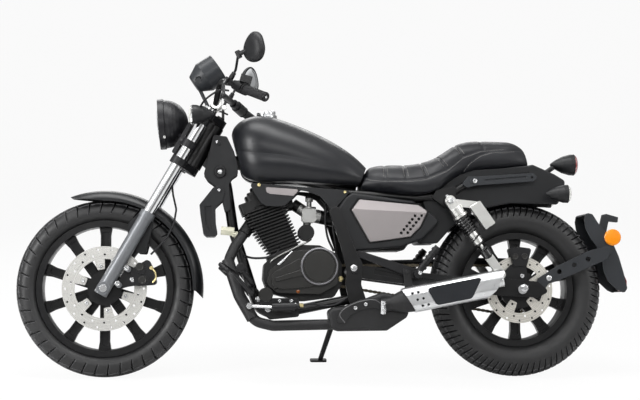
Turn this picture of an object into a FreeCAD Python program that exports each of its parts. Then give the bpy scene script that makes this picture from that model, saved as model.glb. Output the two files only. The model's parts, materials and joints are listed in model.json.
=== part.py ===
"""Cruiser motorcycle with a forward-leaning single-cylinder engine, standing on its side stand.

Every piece is modelled upright, in millimetres: X forward from the rear axle,
Y to the rider's left, Z up from the floor, and the middle of the machine at Y = 0.
stand() then leans the whole machine onto its side stand and puts the origin on
the floor under the middle of its box. Each piece is written to parts/NAME.step.
"""
import FreeCAD, Part
import math
import os

V = FreeCAD.Vector
AXIS_X = V(1, 0, 0)
AXIS_Y = V(0, 1, 0)
AXIS_Z = V(0, 0, 1)
CENTRE = V(0, 0, 0)

# ---- how it stands -------------------------------------------------------
LEAN = 9.0                  # degrees towards the side stand, on the right (-Y)
FIT = 0.3                   # running clearance of shafts and seats
TOUCH = 0.2                 # gap left between pieces that are bolted together

# ---- wheels and tyres ----------------------------------------------------
FRONT_R = 316.0             # outer radius of the front tyre
FRONT_WIDTH = 110.0
FRONT_BEAD_R = 228.5        # 18 inch rim
FRONT_RIM_WIDTH = 78.0
REAR_R = 313.0
REAR_WIDTH = 150.0
REAR_BEAD_R = 190.5         # 15 inch rim
REAR_RIM_WIDTH = 106.0
FLANGE_HEIGHT = 14.0        # rim flange above the bead seat
SPOKES = 10
SPOKE_WIDTH = 36.0
SPOKE_DEPTH = 30.0
FRONT_DISC_R = 150.0
REAR_DISC_R = 120.0
DISC_THICK = 4.5
FRONT_DISC_Y = 59.0         # middle plane of the front disc
REAR_DISC_Y = 92.0
FRONT_AXLE_R = 8.5
REAR_AXLE_R = 10.0

# ---- steering and fork ---------------------------------------------------
RAKE = 30.0                 # degrees from upright
FORK_OFFSET = 45.0          # legs ahead of the steering axis
LEG_Y = 95.0                # fork legs either side of the middle
SLIDER_R = 24.5
STANCHION_R = 20.5
SLIDER_TOP = 312.0          # distances up the leg from the front axle
LOWER_YOKE = 506.0
YOKE_THICK = 28.0
UPPER_YOKE = 706.0
LEG_TOP = 742.0
STEM_R = 14.0
HEAD_TUBE_R = 31.0
STEER_STOP = 38.0           # degrees of steering to each side

# ---- chassis -------------------------------------------------------------
PIVOT_X = 597.0             # swingarm pivot ahead of the rear axle
PIVOT_Z = 380.0
HEAD_X = 531.0              # head tube's middle ahead of the pivot
HEAD_Z = 836.0
TUBE_R = 16.0
BACKBONE_R = 24.0
CRADLE_Y = 112.0            # lower frame tubes either side of the middle
RAIL_Y = 96.0               # seat rails either side of the middle
ARM_Y = 128.0               # swingarm beams
SHOCK_Y = 150.0

# ---- places worked out from those ----------------------------------------
SIN_RAKE = math.sin(math.radians(RAKE))
COS_RAKE = math.cos(math.radians(RAKE))
UP_LEG = V(-SIN_RAKE, 0, COS_RAKE)
OFF_LEG = V(COS_RAKE, 0, SIN_RAKE)


def front_axle_centre():
    """The legs lie FORK_OFFSET ahead of the head tube and reach down to the axle's height."""
    on_leg = V(PIVOT_X + HEAD_X, 0, HEAD_Z) + OFF_LEG * FORK_OFFSET
    down = (on_leg.z - FRONT_R) / COS_RAKE
    return on_leg - UP_LEG * down


FRONT_AXLE = front_axle_centre()
REAR_AXLE = V(0, 0, REAR_R)


def on_fork(up, ahead=0.0, y=0.0):
    """A point measured up the fork leg from the front axle, ahead of the leg, and to the left."""
    return FRONT_AXLE + UP_LEG * up + OFF_LEG * ahead + AXIS_Y * y


def on_frame(ahead, z, y=0.0):
    """A point measured ahead of the swingarm pivot and up from the floor."""
    return V(PIVOT_X + ahead, y, z)


# ---- shapes used again and again -----------------------------------------
def rod(start, end, radius):
    run = end.sub(start)
    return Part.makeCylinder(radius, run.Length, start, run)


def tube(start, end, radius, bore):
    return rod(start, end, radius).cut(rod(start, end, bore))


def cone(start, end, start_radius, end_radius):
    run = end.sub(start)
    return Part.makeCone(start_radius, end_radius, run.Length, start, run)


def join(shapes):
    whole = shapes[0].multiFuse(shapes[1:]) if len(shapes) > 1 else shapes[0]
    return whole.removeSplitter()


def mirrored(shape):
    return shape.mirror(CENTRE, AXIS_Y)


def both_sides(shape):
    return Part.makeCompound([shape, mirrored(shape)])


def rounded_edges(points, radius, closed):
    """Straight runs through the points, with each corner turned into a tangent arc."""
    count = len(points)
    corners = []
    for i, here in enumerate(points):
        if not closed and i in (0, count - 1):
            corners.append((here, None, here))
            continue
        back = points[i - 1].sub(here)
        on = points[(i + 1) % count].sub(here)
        half = back.getAngle(on) / 2.0
        reach = min(radius / math.tan(half), 0.49 * back.Length, 0.49 * on.Length)
        first = here + back.normalize() * reach
        last = here + on.normalize() * reach
        middle = back + on
        depth = reach / math.cos(half) - reach * math.tan(half)
        corners.append((first, here + middle.normalize() * depth, last))
    edges = []
    for i, (first, middle, last) in enumerate(corners):
        if middle is not None:
            edges.append(Part.Arc(first, middle, last).toShape())
        if i < count - 1 or closed:
            following = corners[(i + 1) % count][0]
            if last.distanceToPoint(following) > 1e-4:
                edges.append(Part.LineSegment(last, following).toShape())
    return Part.Wire(edges)


def bent_rod(points, bend, radius):
    """A round bar along straight runs joined by arcs."""
    path = rounded_edges(points, bend, False)
    start = Part.Circle(points[0], points[1].sub(points[0]), radius)
    return path.makePipeShell([Part.Wire(start.toShape())], True, False)


def side_face(points, y, radius):
    """A flat face at one Y from (x, z) corners, rounded."""
    corners = [V(x, y, z) for x, z in points]
    wire = rounded_edges(corners, radius, True) if radius else Part.makePolygon(corners + corners[:1])
    return Part.Face(wire)


def side_slab(points, y_from, y_to, radius=0.0):
    """A plate or block: a side outline carried from one Y to the other."""
    return side_face(points, y_from, radius).extrude(V(0, y_to - y_from, 0))


def frame_slab(points, y_from, y_to, radius=0.0):
    """The same, with the outline measured ahead of the swingarm pivot."""
    return side_slab([(PIVOT_X + ahead, z) for ahead, z in points], y_from, y_to, radius)


def turned(profile, centre, axis=AXIS_Y):
    """A closed profile of (along, radius) points turned round an axis through centre."""
    axis = V(axis).normalize()
    out = axis.cross(AXIS_X if abs(axis.x) < 0.5 else AXIS_Z).normalize()
    points = [centre + axis * along + out * radius for along, radius in profile]
    return Part.Face(Part.makePolygon(points + points[:1])).revolve(centre, axis, 360)


def round_pattern(shape, centre, count, first=0.0):
    """Copies of a shape turned round the wheel's axis."""
    copies = []
    for i in range(count):
        copy = shape.copy()
        copy.rotate(centre, AXIS_Y, first + 360.0 * i / count)
        copies.append(copy)
    return copies


def softened(shape, radius, wanted):
    """Fillet the edges that a test picks."""
    edges = [edge for edge in shape.Edges if wanted(edge)]
    return shape.makeFillet(radius, edges) if edges else shape


def along_y(edge):
    if len(edge.Vertexes) < 2:
        return False
    run = edge.Vertexes[1].Point.sub(edge.Vertexes[0].Point)
    return run.Length > 1e-6 and abs(run.y) > 0.99 * run.Length


# ---- wheels --------------------------------------------------------------
FLANGE_THICK = 5.0
RIM_INSET = 11.0            # barrel's inner face below the bead seat


def tyre(radius, width, bead_radius, rim_width):
    """Closed tyre body: the bead between the flanges, two sidewall arcs and a crown arc."""
    half = rim_width / 2.0 - FLANGE_THICK - TOUCH
    bead = bead_radius + TOUCH
    over = bead_radius + FLANGE_HEIGHT + 1.0
    shoulder_y = 0.89 * width / 2.0
    shoulder_r = radius - 0.21 * width
    wide_r = bead + 0.47 * (radius - bead)
    left = [V(0, half, bead), V(0, half, over), V(0, width / 2.0, wide_r), V(0, shoulder_y, shoulder_r)]
    right = [V(0, -p.y, p.z) for p in reversed(left)]
    crown = V(0, 0, radius)
    edges = [Part.LineSegment(right[3], left[0]).toShape(), Part.LineSegment(left[0], left[1]).toShape()]
    edges.append(Part.Arc(left[1], left[2], left[3]).toShape())
    edges.append(Part.Arc(left[3], crown, right[0]).toShape())
    edges.append(Part.Arc(right[0], right[1], right[2]).toShape())
    edges.append(Part.LineSegment(right[2], right[3]).toShape())
    return Part.Face(Part.Wire(edges)).revolve(CENTRE, AXIS_Y, 360)


def rim_barrel(bead_radius, rim_width):
    half = rim_width / 2.0
    inner = bead_radius - RIM_INSET
    flange = bead_radius + FLANGE_HEIGHT
    side = [(half, inner + 3), (half, flange), (half - FLANGE_THICK, flange)]
    side += [(half - FLANGE_THICK, bead_radius), (0.45 * half, bead_radius), (0.36 * half, bead_radius - 7)]
    other = [(-y, r) for y, r in reversed(side)]
    return turned(side + other + [(-0.5 * half, inner), (0.5 * half, inner)], CENTRE)


def spoke(inner_radius, outer_radius):
    """One spoke: a waisted bar with a shallow channel down each face."""
    waist = SPOKE_WIDTH / 2.0
    flare = waist + 5.0
    shape = [(-waist, inner_radius), (-waist, outer_radius - 30), (-flare, outer_radius)]
    shape += [(flare, outer_radius), (waist, outer_radius - 30), (waist, inner_radius)]
    bar = side_slab(shape, -SPOKE_DEPTH / 2.0, SPOKE_DEPTH / 2.0)
    edge = 6.0
    channel = [(-waist + edge, inner_radius + 52), (-waist + edge, outer_radius - 16)]
    channel += [(waist - edge, outer_radius - 16), (waist - edge, inner_radius + 52)]
    for side in (-1, 1):
        face = side * SPOKE_DEPTH / 2.0
        bar = bar.cut(side_slab(channel, face - side * 7.0, face + side, 5.0))
    return bar


def wheel(bead_radius, rim_width, hub_radius, hub_left, hub_right, bore):
    barrel = rim_barrel(bead_radius, rim_width)
    spokes = round_pattern(spoke(20.0, bead_radius - RIM_INSET + 1.5), CENTRE, SPOKES)
    hub = rod(V(0, hub_right, 0), V(0, hub_left, 0), hub_radius)
    collar = rod(V(0, -SPOKE_DEPTH / 2 - 3, 0), V(0, SPOKE_DEPTH / 2 + 3, 0), hub_radius + 22)
    whole = join([barrel, hub, collar] + spokes)
    return whole.cut(rod(V(0, hub_right - 1, 0), V(0, hub_left + 1, 0), bore))


def brake_disc(radius, band, bolt_circle, tabs, y):
    """A drilled ring carried by tabs that reach in to the hub's bolts."""
    ring = rod(V(0, y - DISC_THICK / 2, 0), V(0, y + DISC_THICK / 2, 0), radius)
    ring = ring.cut(rod(V(0, y - DISC_THICK, 0), V(0, y + DISC_THICK, 0), radius - band))
    half = 13.0
    tab = side_slab([(-half, bolt_circle - 12), (-half - 6, radius - band + 3), (half + 6, radius - band + 3),
                     (half, bolt_circle - 12)], y - DISC_THICK / 2, y + DISC_THICK / 2, 4.0)
    hole = rod(V(0, y - DISC_THICK, bolt_circle), V(0, y + DISC_THICK, bolt_circle), 4.3)
    disc = join([ring] + round_pattern(tab, CENTRE, tabs, 10.0))
    drills = round_pattern(hole, CENTRE, tabs, 10.0)
    for place in range(6 * tabs):
        reach = radius - band * (0.25 if place % 2 else 0.65)
        drill = rod(V(0, y - DISC_THICK, reach), V(0, y + DISC_THICK, reach), 3.8)
        drill.rotate(CENTRE, AXIS_Y, 360.0 * place / (6 * tabs))
        drills.append(drill)
    return disc.cut(Part.makeCompound(drills))


FRONT_BAND = 45.0
FRONT_BOLTS = 80.0
REAR_BAND = 36.0
REAR_BOLTS = 58.0
SPACER_GAP = 5.0            # between a hub and what carries its axle


def front_wheel_parts():
    hub_left = FRONT_DISC_Y - DISC_THICK / 2 - TOUCH
    rim = wheel(FRONT_BEAD_R, FRONT_RIM_WIDTH, 34.0, hub_left, -LEG_Y + SLIDER_R + SPACER_GAP,
                FRONT_AXLE_R + FIT)
    carrier = rod(V(0, hub_left - 8, 0), V(0, hub_left, 0), 60.0)
    lug = rod(V(0, hub_left - 14, FRONT_BOLTS), V(0, hub_left, FRONT_BOLTS), 11.0)
    web = side_slab([(-9, 50), (-9, FRONT_BOLTS), (9, FRONT_BOLTS), (9, 50)], hub_left - 8, hub_left)
    cone_in = cone(V(0, SPOKE_DEPTH / 2, 0), V(0, hub_left - 7, 0), 50.0, 60.0)
    carrier = join([carrier, cone_in] + round_pattern(join([lug, web]), CENTRE, 6, 10.0))
    carrier = carrier.cut(rod(V(0, 0, 0), V(0, hub_left + 1, 0), FRONT_AXLE_R + FIT))
    rim = join([rim, carrier])
    return {
        "front_rim": rim,
        "front_tyre": tyre(FRONT_R, FRONT_WIDTH, FRONT_BEAD_R, FRONT_RIM_WIDTH),
        "front_disc": brake_disc(FRONT_DISC_R, FRONT_BAND, FRONT_BOLTS, 6, FRONT_DISC_Y),
    }


SPROCKET_TEETH = 36         # whole thirds of a right angle, so the teeth meet the chain at rest
CHAIN_PITCH = 15.875
CHAIN_Y = -92.0
SPROCKET_PITCH_R = CHAIN_PITCH * SPROCKET_TEETH / (2 * math.pi)
CHAIN_HALF = 6.0            # link plates either side of the pitch line


def sprocket():
    """Toothed ring with six windows, bolted to the hub's right side."""
    tip = SPROCKET_PITCH_R - CHAIN_HALF - FIT
    root = tip - 7.0
    step = 2 * math.pi / SPROCKET_TEETH
    points = []
    for tooth in range(SPROCKET_TEETH):
        for share, radius in ((0.12, tip), (0.42, root), (0.58, root), (0.88, tip)):
            angle = (tooth + share) * step
            points.append((radius * math.sin(angle), radius * math.cos(angle)))
    plate = side_slab(points, CHAIN_Y - 3.5, CHAIN_Y + 3.5)
    window = rod(V(0, CHAIN_Y - 9, root - 16), V(0, CHAIN_Y + 9, root - 16), 9.0)
    plate = plate.cut(Part.makeCompound(round_pattern(window, CENTRE, 6)))
    plate = plate.cut(rod(V(0, CHAIN_Y - 9, 0), V(0, CHAIN_Y + 9, 0), 40.0))
    return plate


def rear_wheel_parts():
    hub_left = REAR_DISC_Y - DISC_THICK / 2 - TOUCH
    hub_right = CHAIN_Y + 3.5 + TOUCH
    rim = wheel(REAR_BEAD_R, REAR_RIM_WIDTH, 38.0, hub_left, hub_right, REAR_AXLE_R + FIT)
    boss = rod(V(0, hub_left - 10, 0), V(0, hub_left, 0), 68.0)
    drum = rod(V(0, hub_right, 0), V(0, hub_right + 34, 0), 70.0)
    bore = rod(V(0, -200, 0), V(0, 200, 0), REAR_AXLE_R + FIT)
    rim = join([rim, boss.cut(bore), drum.cut(bore)])
    return {
        "rear_rim": rim,
        "rear_tyre": tyre(REAR_R, REAR_WIDTH, REAR_BEAD_R, REAR_RIM_WIDTH),
        "rear_disc": brake_disc(REAR_DISC_R, REAR_BAND, REAR_BOLTS, 5, REAR_DISC_Y),
        "rear_sprocket": sprocket(),
    }


# ---- fork and steering ---------------------------------------------------
CALIPER_LUGS = ((101.0, -40.0), (37.0, -40.0))      # up the leg, ahead of it
PAD_GAP = 2.5
CALIPER_FACE = FRONT_DISC_Y + DISC_THICK / 2 + PAD_GAP + 22     # outer face of the caliper's bracket


def fork_sliders():
    """Lower legs: collared tubes with an axle eye, the left one with lugs for the caliper."""
    body = rod(on_fork(-24, 0, LEG_Y), on_fork(SLIDER_TOP, 0, LEG_Y), SLIDER_R)
    collar = rod(on_fork(SLIDER_TOP - 24, 0, LEG_Y), on_fork(SLIDER_TOP - 2, 0, LEG_Y), SLIDER_R + 3)
    eye = rod(on_fork(0, 0, LEG_Y - SLIDER_R), on_fork(0, 0, LEG_Y + SLIDER_R + 2), 23.0)
    bore = rod(on_fork(SLIDER_TOP - 90, 0, LEG_Y), on_fork(SLIDER_TOP + 1, 0, LEG_Y), STANCHION_R + TOUCH)
    axle_hole = rod(on_fork(0, 0, 0), on_fork(0, 0, 2 * LEG_Y), FRONT_AXLE_R + TOUCH)
    plain = join([body, collar, eye]).cut(bore).cut(axle_hole)
    lugs = [rod(on_fork(up, ahead, CALIPER_FACE + TOUCH), on_fork(up, ahead, LEG_Y + 12), 10.0)
            for up, ahead in CALIPER_LUGS]
    webs = [rod(on_fork(up, ahead, LEG_Y), on_fork(up, -SLIDER_R + 4, LEG_Y), 8.0) for up, ahead in CALIPER_LUGS]
    left = join([plain] + lugs + webs)
    return Part.makeCompound([left, mirrored(plain)])


def fork_stanchions():
    return both_sides(rod(on_fork(SLIDER_TOP - 80, 0, LEG_Y), on_fork(LEG_TOP, 0, LEG_Y), STANCHION_R))


def yoke(bottom, reach):
    """A clamp plate round both legs and the stem."""
    rings = []
    for y in (-LEG_Y, LEG_Y):
        rings.append(rod(on_fork(bottom, 0, y), on_fork(bottom + YOKE_THICK, 0, y), STANCHION_R + 9))
    rings.append(rod(on_fork(bottom, -FORK_OFFSET), on_fork(bottom + YOKE_THICK, -FORK_OFFSET), STEM_R + 14))
    corners = [(-FORK_OFFSET - 22, -22), (-FORK_OFFSET - 22, 22), (-12, LEG_Y), (reach, LEG_Y - 14),
               (reach - 14, 34), (reach - 14, -34), (reach, -LEG_Y + 14), (-12, -LEG_Y)]
    points = [on_fork(bottom + 3, ahead, y) for ahead, y in corners]
    plate = Part.Face(rounded_edges(points, 12.0, True)).extrude(UP_LEG * (YOKE_THICK - 6))
    whole = join(rings + [plate])
    for y in (-LEG_Y, LEG_Y):
        whole = whole.cut(rod(on_fork(bottom - 1, 0, y), on_fork(bottom + YOKE_THICK + 1, 0, y),
                              STANCHION_R + TOUCH))
    return whole


def fork_yokes():
    lower = yoke(LOWER_YOKE, 26.0)
    upper = yoke(UPPER_YOKE, 22.0)
    stem = rod(on_fork(LOWER_YOKE, -FORK_OFFSET), on_fork(UPPER_YOKE + YOKE_THICK + 8, -FORK_OFFSET), STEM_R)
    return join([lower, upper, stem])


def front_axle():
    half = LEG_Y + SLIDER_R + 2
    shaft = rod(on_fork(0, 0, -half - 4), on_fork(0, 0, half + 1), FRONT_AXLE_R)
    head = rod(on_fork(0, 0, half + TOUCH), on_fork(0, 0, half + 8), 13.5)
    nut = rod(on_fork(0, 0, -half - 12), on_fork(0, 0, -half - TOUCH), 13.5)
    left = rod(on_fork(0, 0, FRONT_DISC_Y - DISC_THICK / 2), on_fork(0, 0, LEG_Y - SLIDER_R - TOUCH), 14.0)
    right = rod(on_fork(0, 0, -LEG_Y + SLIDER_R + TOUCH), on_fork(0, 0, -LEG_Y + SLIDER_R + 4.5), 14.0)
    return join([shaft, head, nut, left, right])


FENDER_GAP = 28.0           # front tyre to the inside of the fender's crown
FENDER_HALF = 62.0
FENDER_FROM = -21.8         # degrees ahead of the top
FENDER_TO = 96.0            # degrees behind the top
SHEET = 3.0


def front_fender():
    """A curved shell over the tyre, turned round the axle, with pointed ends."""
    crown = FRONT_R + FENDER_GAP + SHEET
    skirt = FRONT_R - 4
    outside = [V(0, FENDER_HALF, skirt), V(0, FENDER_HALF, crown - 24), V(0, FENDER_HALF - 16, crown - 6),
               V(0, 0, crown)]
    inside = [V(0, p.y - SHEET if p.y else 0, p.z - (SHEET if p.z > skirt else 0)) for p in outside]

    def half_section(sign):
        a, b, c, d = [V(0, sign * p.y, p.z) for p in outside]
        e, f, g, h = [V(0, sign * p.y, p.z) for p in inside]
        edges = [Part.LineSegment(a, b).toShape(), Part.Arc(b, c, d).toShape()]
        edges += [Part.LineSegment(d, h).toShape(), Part.Arc(h, g, f).toShape()]
        edges += [Part.LineSegment(f, e).toShape(), Part.LineSegment(e, a).toShape()]
        return Part.Face(Part.Wire(edges))

    sweep = FENDER_TO - FENDER_FROM
    halves = []
    for sign in (1, -1):
        section = half_section(sign)
        section.rotate(CENTRE, AXIS_Y, -FENDER_FROM)
        halves.append(section.revolve(CENTRE, AXIS_Y, -sweep))
    shell = join(halves)
    nose = side_slab([(8, skirt - 70), (8, skirt + 1), (0.35 * crown, crown - 25), (0.42 * crown, crown),
                      (0.8 * crown, crown), (0.8 * crown, skirt - 70)], -FENDER_HALF - 5, FENDER_HALF + 5)
    tail = side_slab([(-skirt + 20, -70), (-skirt + 20, 4), (-skirt - 12, -10), (-crown - 2, -36), (-crown - 2, -70)],
                     -FENDER_HALF - 5, FENDER_HALF + 5)
    shell = shell.cut(nose).cut(tail)
    shell.translate(FRONT_AXLE)
    return shell


def fender_stays():
    """Side plates that carry the fender between the sliders."""
    inner = FENDER_HALF + TOUCH
    outer = LEG_Y - SLIDER_R - 3 - TOUCH
    points = [on_fork(up, ahead, inner) for up, ahead in
              ((296, 30), (296, -30), (180, -64), (168, -40), (178, 10), (240, 44))]
    plate = Part.Face(rounded_edges(points, 8.0, True)).extrude(V(0, outer - inner, 0))
    plate = plate.cut(rod(on_fork(-24, 0, LEG_Y), on_fork(SLIDER_TOP, 0, LEG_Y), SLIDER_R + 3 + TOUCH))
    return both_sides(plate)


def front_caliper():
    """A two-sided block over the rear edge of the disc, with its bracket to the lugs."""
    inner, outer = 110.0, 188.0
    points = []
    for radius, first, last in ((outer, 146, 176), (inner, 176, 144)):
        for angle in (first, (first + last) / 2, last):
            turn = math.radians(angle)
            points.append((FRONT_AXLE.x + radius * math.cos(turn), FRONT_AXLE.z + radius * math.sin(turn)))
    gap = DISC_THICK / 2 + PAD_GAP
    block = side_slab(points, FRONT_DISC_Y - gap - 22, FRONT_DISC_Y + gap + 30, 12.0)
    slot = rod(V(FRONT_AXLE.x, FRONT_DISC_Y - gap, FRONT_AXLE.z), V(FRONT_AXLE.x, FRONT_DISC_Y + gap, FRONT_AXLE.z),
               FRONT_DISC_R + 6)
    block = block.cut(slot)
    corners = [on_fork(up, ahead, CALIPER_FACE - 8) for up, ahead in
               ((30, -50), (24, -32), (50, -30), (90, -30), (114, -32), (116, -52), (120, -100), (80, -110))]
    bracket = Part.Face(rounded_edges(corners, 6.0, True)).extrude(V(0, 8, 0))
    for up, ahead in CALIPER_LUGS:
        bracket = bracket.cut(rod(on_fork(up, ahead, 0), on_fork(up, ahead, 200), 4.0))
    bracket = bracket.cut(rod(on_fork(-24, 0, LEG_Y), on_fork(SLIDER_TOP, 0, LEG_Y), SLIDER_R + 2))
    pistons = []
    for angle in (153, 169):
        turn = math.radians(angle)
        at = V(FRONT_AXLE.x + 146 * math.cos(turn), FRONT_DISC_Y + gap + 28, FRONT_AXLE.z + 146 * math.sin(turn))
        pistons.append(rod(at, at + V(0, 8, 0), 16.0))
    return join([block, bracket] + pistons).cut(fork_sliders())


# ---- lamps ---------------------------------------------------------------
LAMP_R = 91.5
LAMP_UP = 611.0
LAMP_AHEAD = 128.0
LAMP_TILT = 4.7             # degrees the beam points down
LAMP_DIR = V(math.cos(math.radians(LAMP_TILT)), 0, -math.sin(math.radians(LAMP_TILT)))
LAMP_CENTRE = on_fork(LAMP_UP, LAMP_AHEAD)


def headlight_shell():
    """A deep round-backed bowl with a rolled front ring."""
    outside = []
    inside = []
    for step in range(10):
        angle = math.radians(9.4 * step)
        outside.append((-14 - 84 * math.sin(angle), (LAMP_R - 4) * math.cos(angle)))
        inside.append((-10 - 82 * math.sin(angle), (LAMP_R - 10) * math.cos(angle)))
    profile = [(0, LAMP_R - 6), (9, LAMP_R - 6), (9, LAMP_R), (-12, LAMP_R)] + outside
    profile += [(-98.2, 0.0), (-92.2, 0.0)] + inside[::-1] + [(0, LAMP_R - 10)]
    return turned(profile, LAMP_CENTRE, LAMP_DIR)


def headlight_lens():
    """A domed glass that seats inside the ring."""
    seat = LAMP_R - 6 - TOUCH
    profile = [(TOUCH, 0.0), (TOUCH, seat), (6, seat), (10, 0.8 * seat), (13, 0.5 * seat), (14.5, 0.2 * seat), (15, 0.0)]
    return turned(profile, LAMP_CENTRE, LAMP_DIR)


def headlight_brackets():
    """Clamps round the stanchions, with straps ahead of them and struts in to the back of the bowl."""
    low, high = LAMP_UP - 34, LAMP_UP - 6
    ring = rod(on_fork(low, 0, LEG_Y), on_fork(high, 0, LEG_Y), STANCHION_R + 6)
    corners = [on_fork(up, ahead, 70) for up, ahead in ((538, 27), (538, 41), (700, 41), (700, 27))]
    strap = Part.Face(rounded_edges(corners, 6.0, True)).extrude(V(0, 9, 0))
    lug = rod(on_fork(LAMP_UP - 20, 0, LEG_Y), on_fork(LAMP_UP - 20, 34, 74), 8.0)
    strut = rod(on_fork(LAMP_UP - 6, 34, 74), on_fork(LAMP_UP - 3, 56, 36), 7.0)
    stanchion = rod(on_fork(low - 20, 0, LEG_Y), on_fork(high + 20, 0, LEG_Y), STANCHION_R + TOUCH)
    bowl = Part.makeCompound([headlight_shell(), rod(LAMP_CENTRE, LAMP_CENTRE - LAMP_DIR * 70, LAMP_R - 40)])
    return both_sides(join([ring, strap, lug, strut]).cut(stanchion).cut(bowl))


BULLET_R = 34.5
BULLET_LENGTH = 78.0
FRONT_BULLET = on_fork(684.0, 39.0, 153.0)
REAR_BULLET = V(-168, 142, 654)


def bullet(centre, ahead, radius, length):
    """A pointed lamp body behind a flat ring; ahead is +1 or -1 along X."""
    back = [(0, radius), (-16, 0.98 * radius), (-0.5 * length, 0.78 * radius), (-0.8 * length, 0.42 * radius)]
    profile = [(0, 0.0)] + back + [(-length + 2, 0.12 * radius), (-length, 0.0)]
    return turned(profile, centre, AXIS_X * ahead)


def bullet_lens(centre, ahead, radius):
    profile = [(TOUCH, 0.0), (TOUCH, radius), (5, radius - 1), (9, 0.8 * radius), (12, 0.4 * radius), (13, 0.0)]
    return turned(profile, centre, AXIS_X * ahead)


def front_indicators():
    body = bullet(FRONT_BULLET, 1, BULLET_R, BULLET_LENGTH)
    low, high = UPPER_YOKE - 30, UPPER_YOKE - 3
    ring = rod(on_fork(low, 0, LEG_Y), on_fork(high, 0, LEG_Y), STANCHION_R + 5)
    stalk = rod(on_fork((low + high) / 2, 0, LEG_Y), on_fork((low + high) / 2, 8, FRONT_BULLET.y - 8), 9.0)
    stalk = stalk.cut(rod(on_fork(low - 9, 0, LEG_Y), on_fork(high + 9, 0, LEG_Y), STANCHION_R + 4))
    whole = join([ring, stalk, body])
    whole = whole.cut(rod(on_fork(low - 1, 0, LEG_Y), on_fork(high + 1, 0, LEG_Y), STANCHION_R + TOUCH))
    return both_sides(whole)


def front_indicator_lenses():
    return both_sides(bullet_lens(FRONT_BULLET, 1, BULLET_R))


# ---- handlebar and what it carries ---------------------------------------
BAR_R = 11.0
GRIP_R = 16.5
BAR_CLAMP = (772.0, -6.0)                        # up, ahead
BAR_ROUTE = ((836, 12, 150), (840, -30, 235), (836, -84, 305), (836, -163, 400))    # up, ahead, y
GRIP_FROM = on_fork(*BAR_ROUTE[2])
GRIP_TO = on_fork(*BAR_ROUTE[3])
GRIP_DIR = (GRIP_TO - GRIP_FROM).normalize()
SWITCH_FROM = on_fork(*BAR_ROUTE[1])
MIRROR_AHEAD = 28.0         # mirror's boss ahead of the bar, and its top above it
MIRROR_UP = 24.0


def bar_along(radius):
    """A round bar of the given radius along the handlebar's line."""
    left = [on_fork(*BAR_CLAMP, 72)] + [on_fork(*place) for place in BAR_ROUTE]
    right = [V(p.x, -p.y, p.z) for p in reversed(left)]
    return bent_rod(right + left, 60.0, radius)


def handlebar():
    bar = bar_along(BAR_R)
    risers = []
    top = UPPER_YOKE + YOKE_THICK
    for y in (-40, 40):
        post = rod(on_fork(top + TOUCH, BAR_CLAMP[1], y), on_fork(BAR_CLAMP[0] + 4, BAR_CLAMP[1], y), 14.0)
        clamp = rod(on_fork(*BAR_CLAMP, y - 15), on_fork(*BAR_CLAMP, y + 15), 20.0)
        risers.append(join([post, clamp]))
    return join([bar] + risers)


def grips():
    start = GRIP_FROM + GRIP_DIR * 4
    grip = tube(start, GRIP_TO + GRIP_DIR * 1, GRIP_R, BAR_R + TOUCH)
    collar = tube(start, start + GRIP_DIR * 5, GRIP_R + 5, BAR_R + TOUCH)
    cap = rod(GRIP_TO + GRIP_DIR * TOUCH, GRIP_TO + GRIP_DIR * 5, GRIP_R - 1.5)
    return both_sides(join([grip, collar, cap]))


def bar_switches():
    """Switch housings inboard of the grips, with the mirror bosses and, left, the fluid reservoir."""
    run = (GRIP_FROM - SWITCH_FROM).normalize()
    start = GRIP_FROM - run * 44
    body = rod(start, GRIP_FROM - run * 1, 21.0)
    perch = rod(start - run * 22, start - run * 4, 17.0)
    boss_at = start - run * 13
    boss = rod(boss_at + OFF_LEG * MIRROR_AHEAD, boss_at + OFF_LEG * MIRROR_AHEAD + UP_LEG * MIRROR_UP, 9.0)
    arm = rod(boss_at, boss_at + OFF_LEG * 34 + V(0, 6, 0), 9.0)
    neck = rod(start - run * 8, start + run * 8, 15.0)
    side = join([body, perch, boss, arm, neck])
    tank = Part.makeBox(40, 42, 26, V(-20, -21, 0))
    tank.rotate(CENTRE, AXIS_Y, 14 - RAKE)
    tank.translate(start + run * 26 + UP_LEG * 19)
    bar = bar_along(BAR_R + TOUCH)
    return Part.makeCompound([join([side, tank]).cut(bar), mirrored(side).cut(bar)])


def levers():
    """Bright levers from the perches, drooping ahead of the grips, each with a ball end."""
    run = (GRIP_FROM - SWITCH_FROM).normalize()
    root = GRIP_FROM - run * 57 + OFF_LEG * 36 + V(0, 8, 0)
    knee = root - UP_LEG * 26 + V(0, 52, 0)
    tip = on_fork(770, -38, 392)
    blade = bent_rod([root, knee, tip], 30.0, 5.5)
    ball = Part.makeSphere(9.0, tip)
    pivot = rod(root - UP_LEG * 8, root + UP_LEG * 8, 9.0)
    return both_sides(join([blade, ball, pivot]).cut(bar_switches()))


MIRROR_TURN = 125.0         # degrees from straight ahead to the head's outer end
MIRROR_CENTRE = on_fork(964.5, -42.6, 390.0)
# across and up the head, from its middle
MIRROR_OUTLINE = ((4, 53), (33, 38), (49, 8), (53, -15), (42, -38), (6, -51), (-32, -42), (-52, -20), (-53, 2), (-41, 27),
                  (-20, 46))


def mirror_stems():
    run = (GRIP_FROM - SWITCH_FROM).normalize()
    base = GRIP_FROM - run * 57 + OFF_LEG * MIRROR_AHEAD + UP_LEG * (MIRROR_UP + TOUCH)
    joint = MIRROR_CENTRE + V(52, -40, -20)
    stem = bent_rod([base + UP_LEG * 4, base + UP_LEG * 20 + V(0, 6, 0), joint], 20.0, 4.5)
    foot = rod(base, base + UP_LEG * 10, 8.0)
    knuckle = rod(joint - V(6, -4, 12), joint + V(4, 2, 12), 9.0)
    neck = rod(joint, MIRROR_CENTRE + V(18, -14, -6), 8.0)
    return both_sides(join([stem, foot, knuckle, neck]).cut(mirror_head()))


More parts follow.
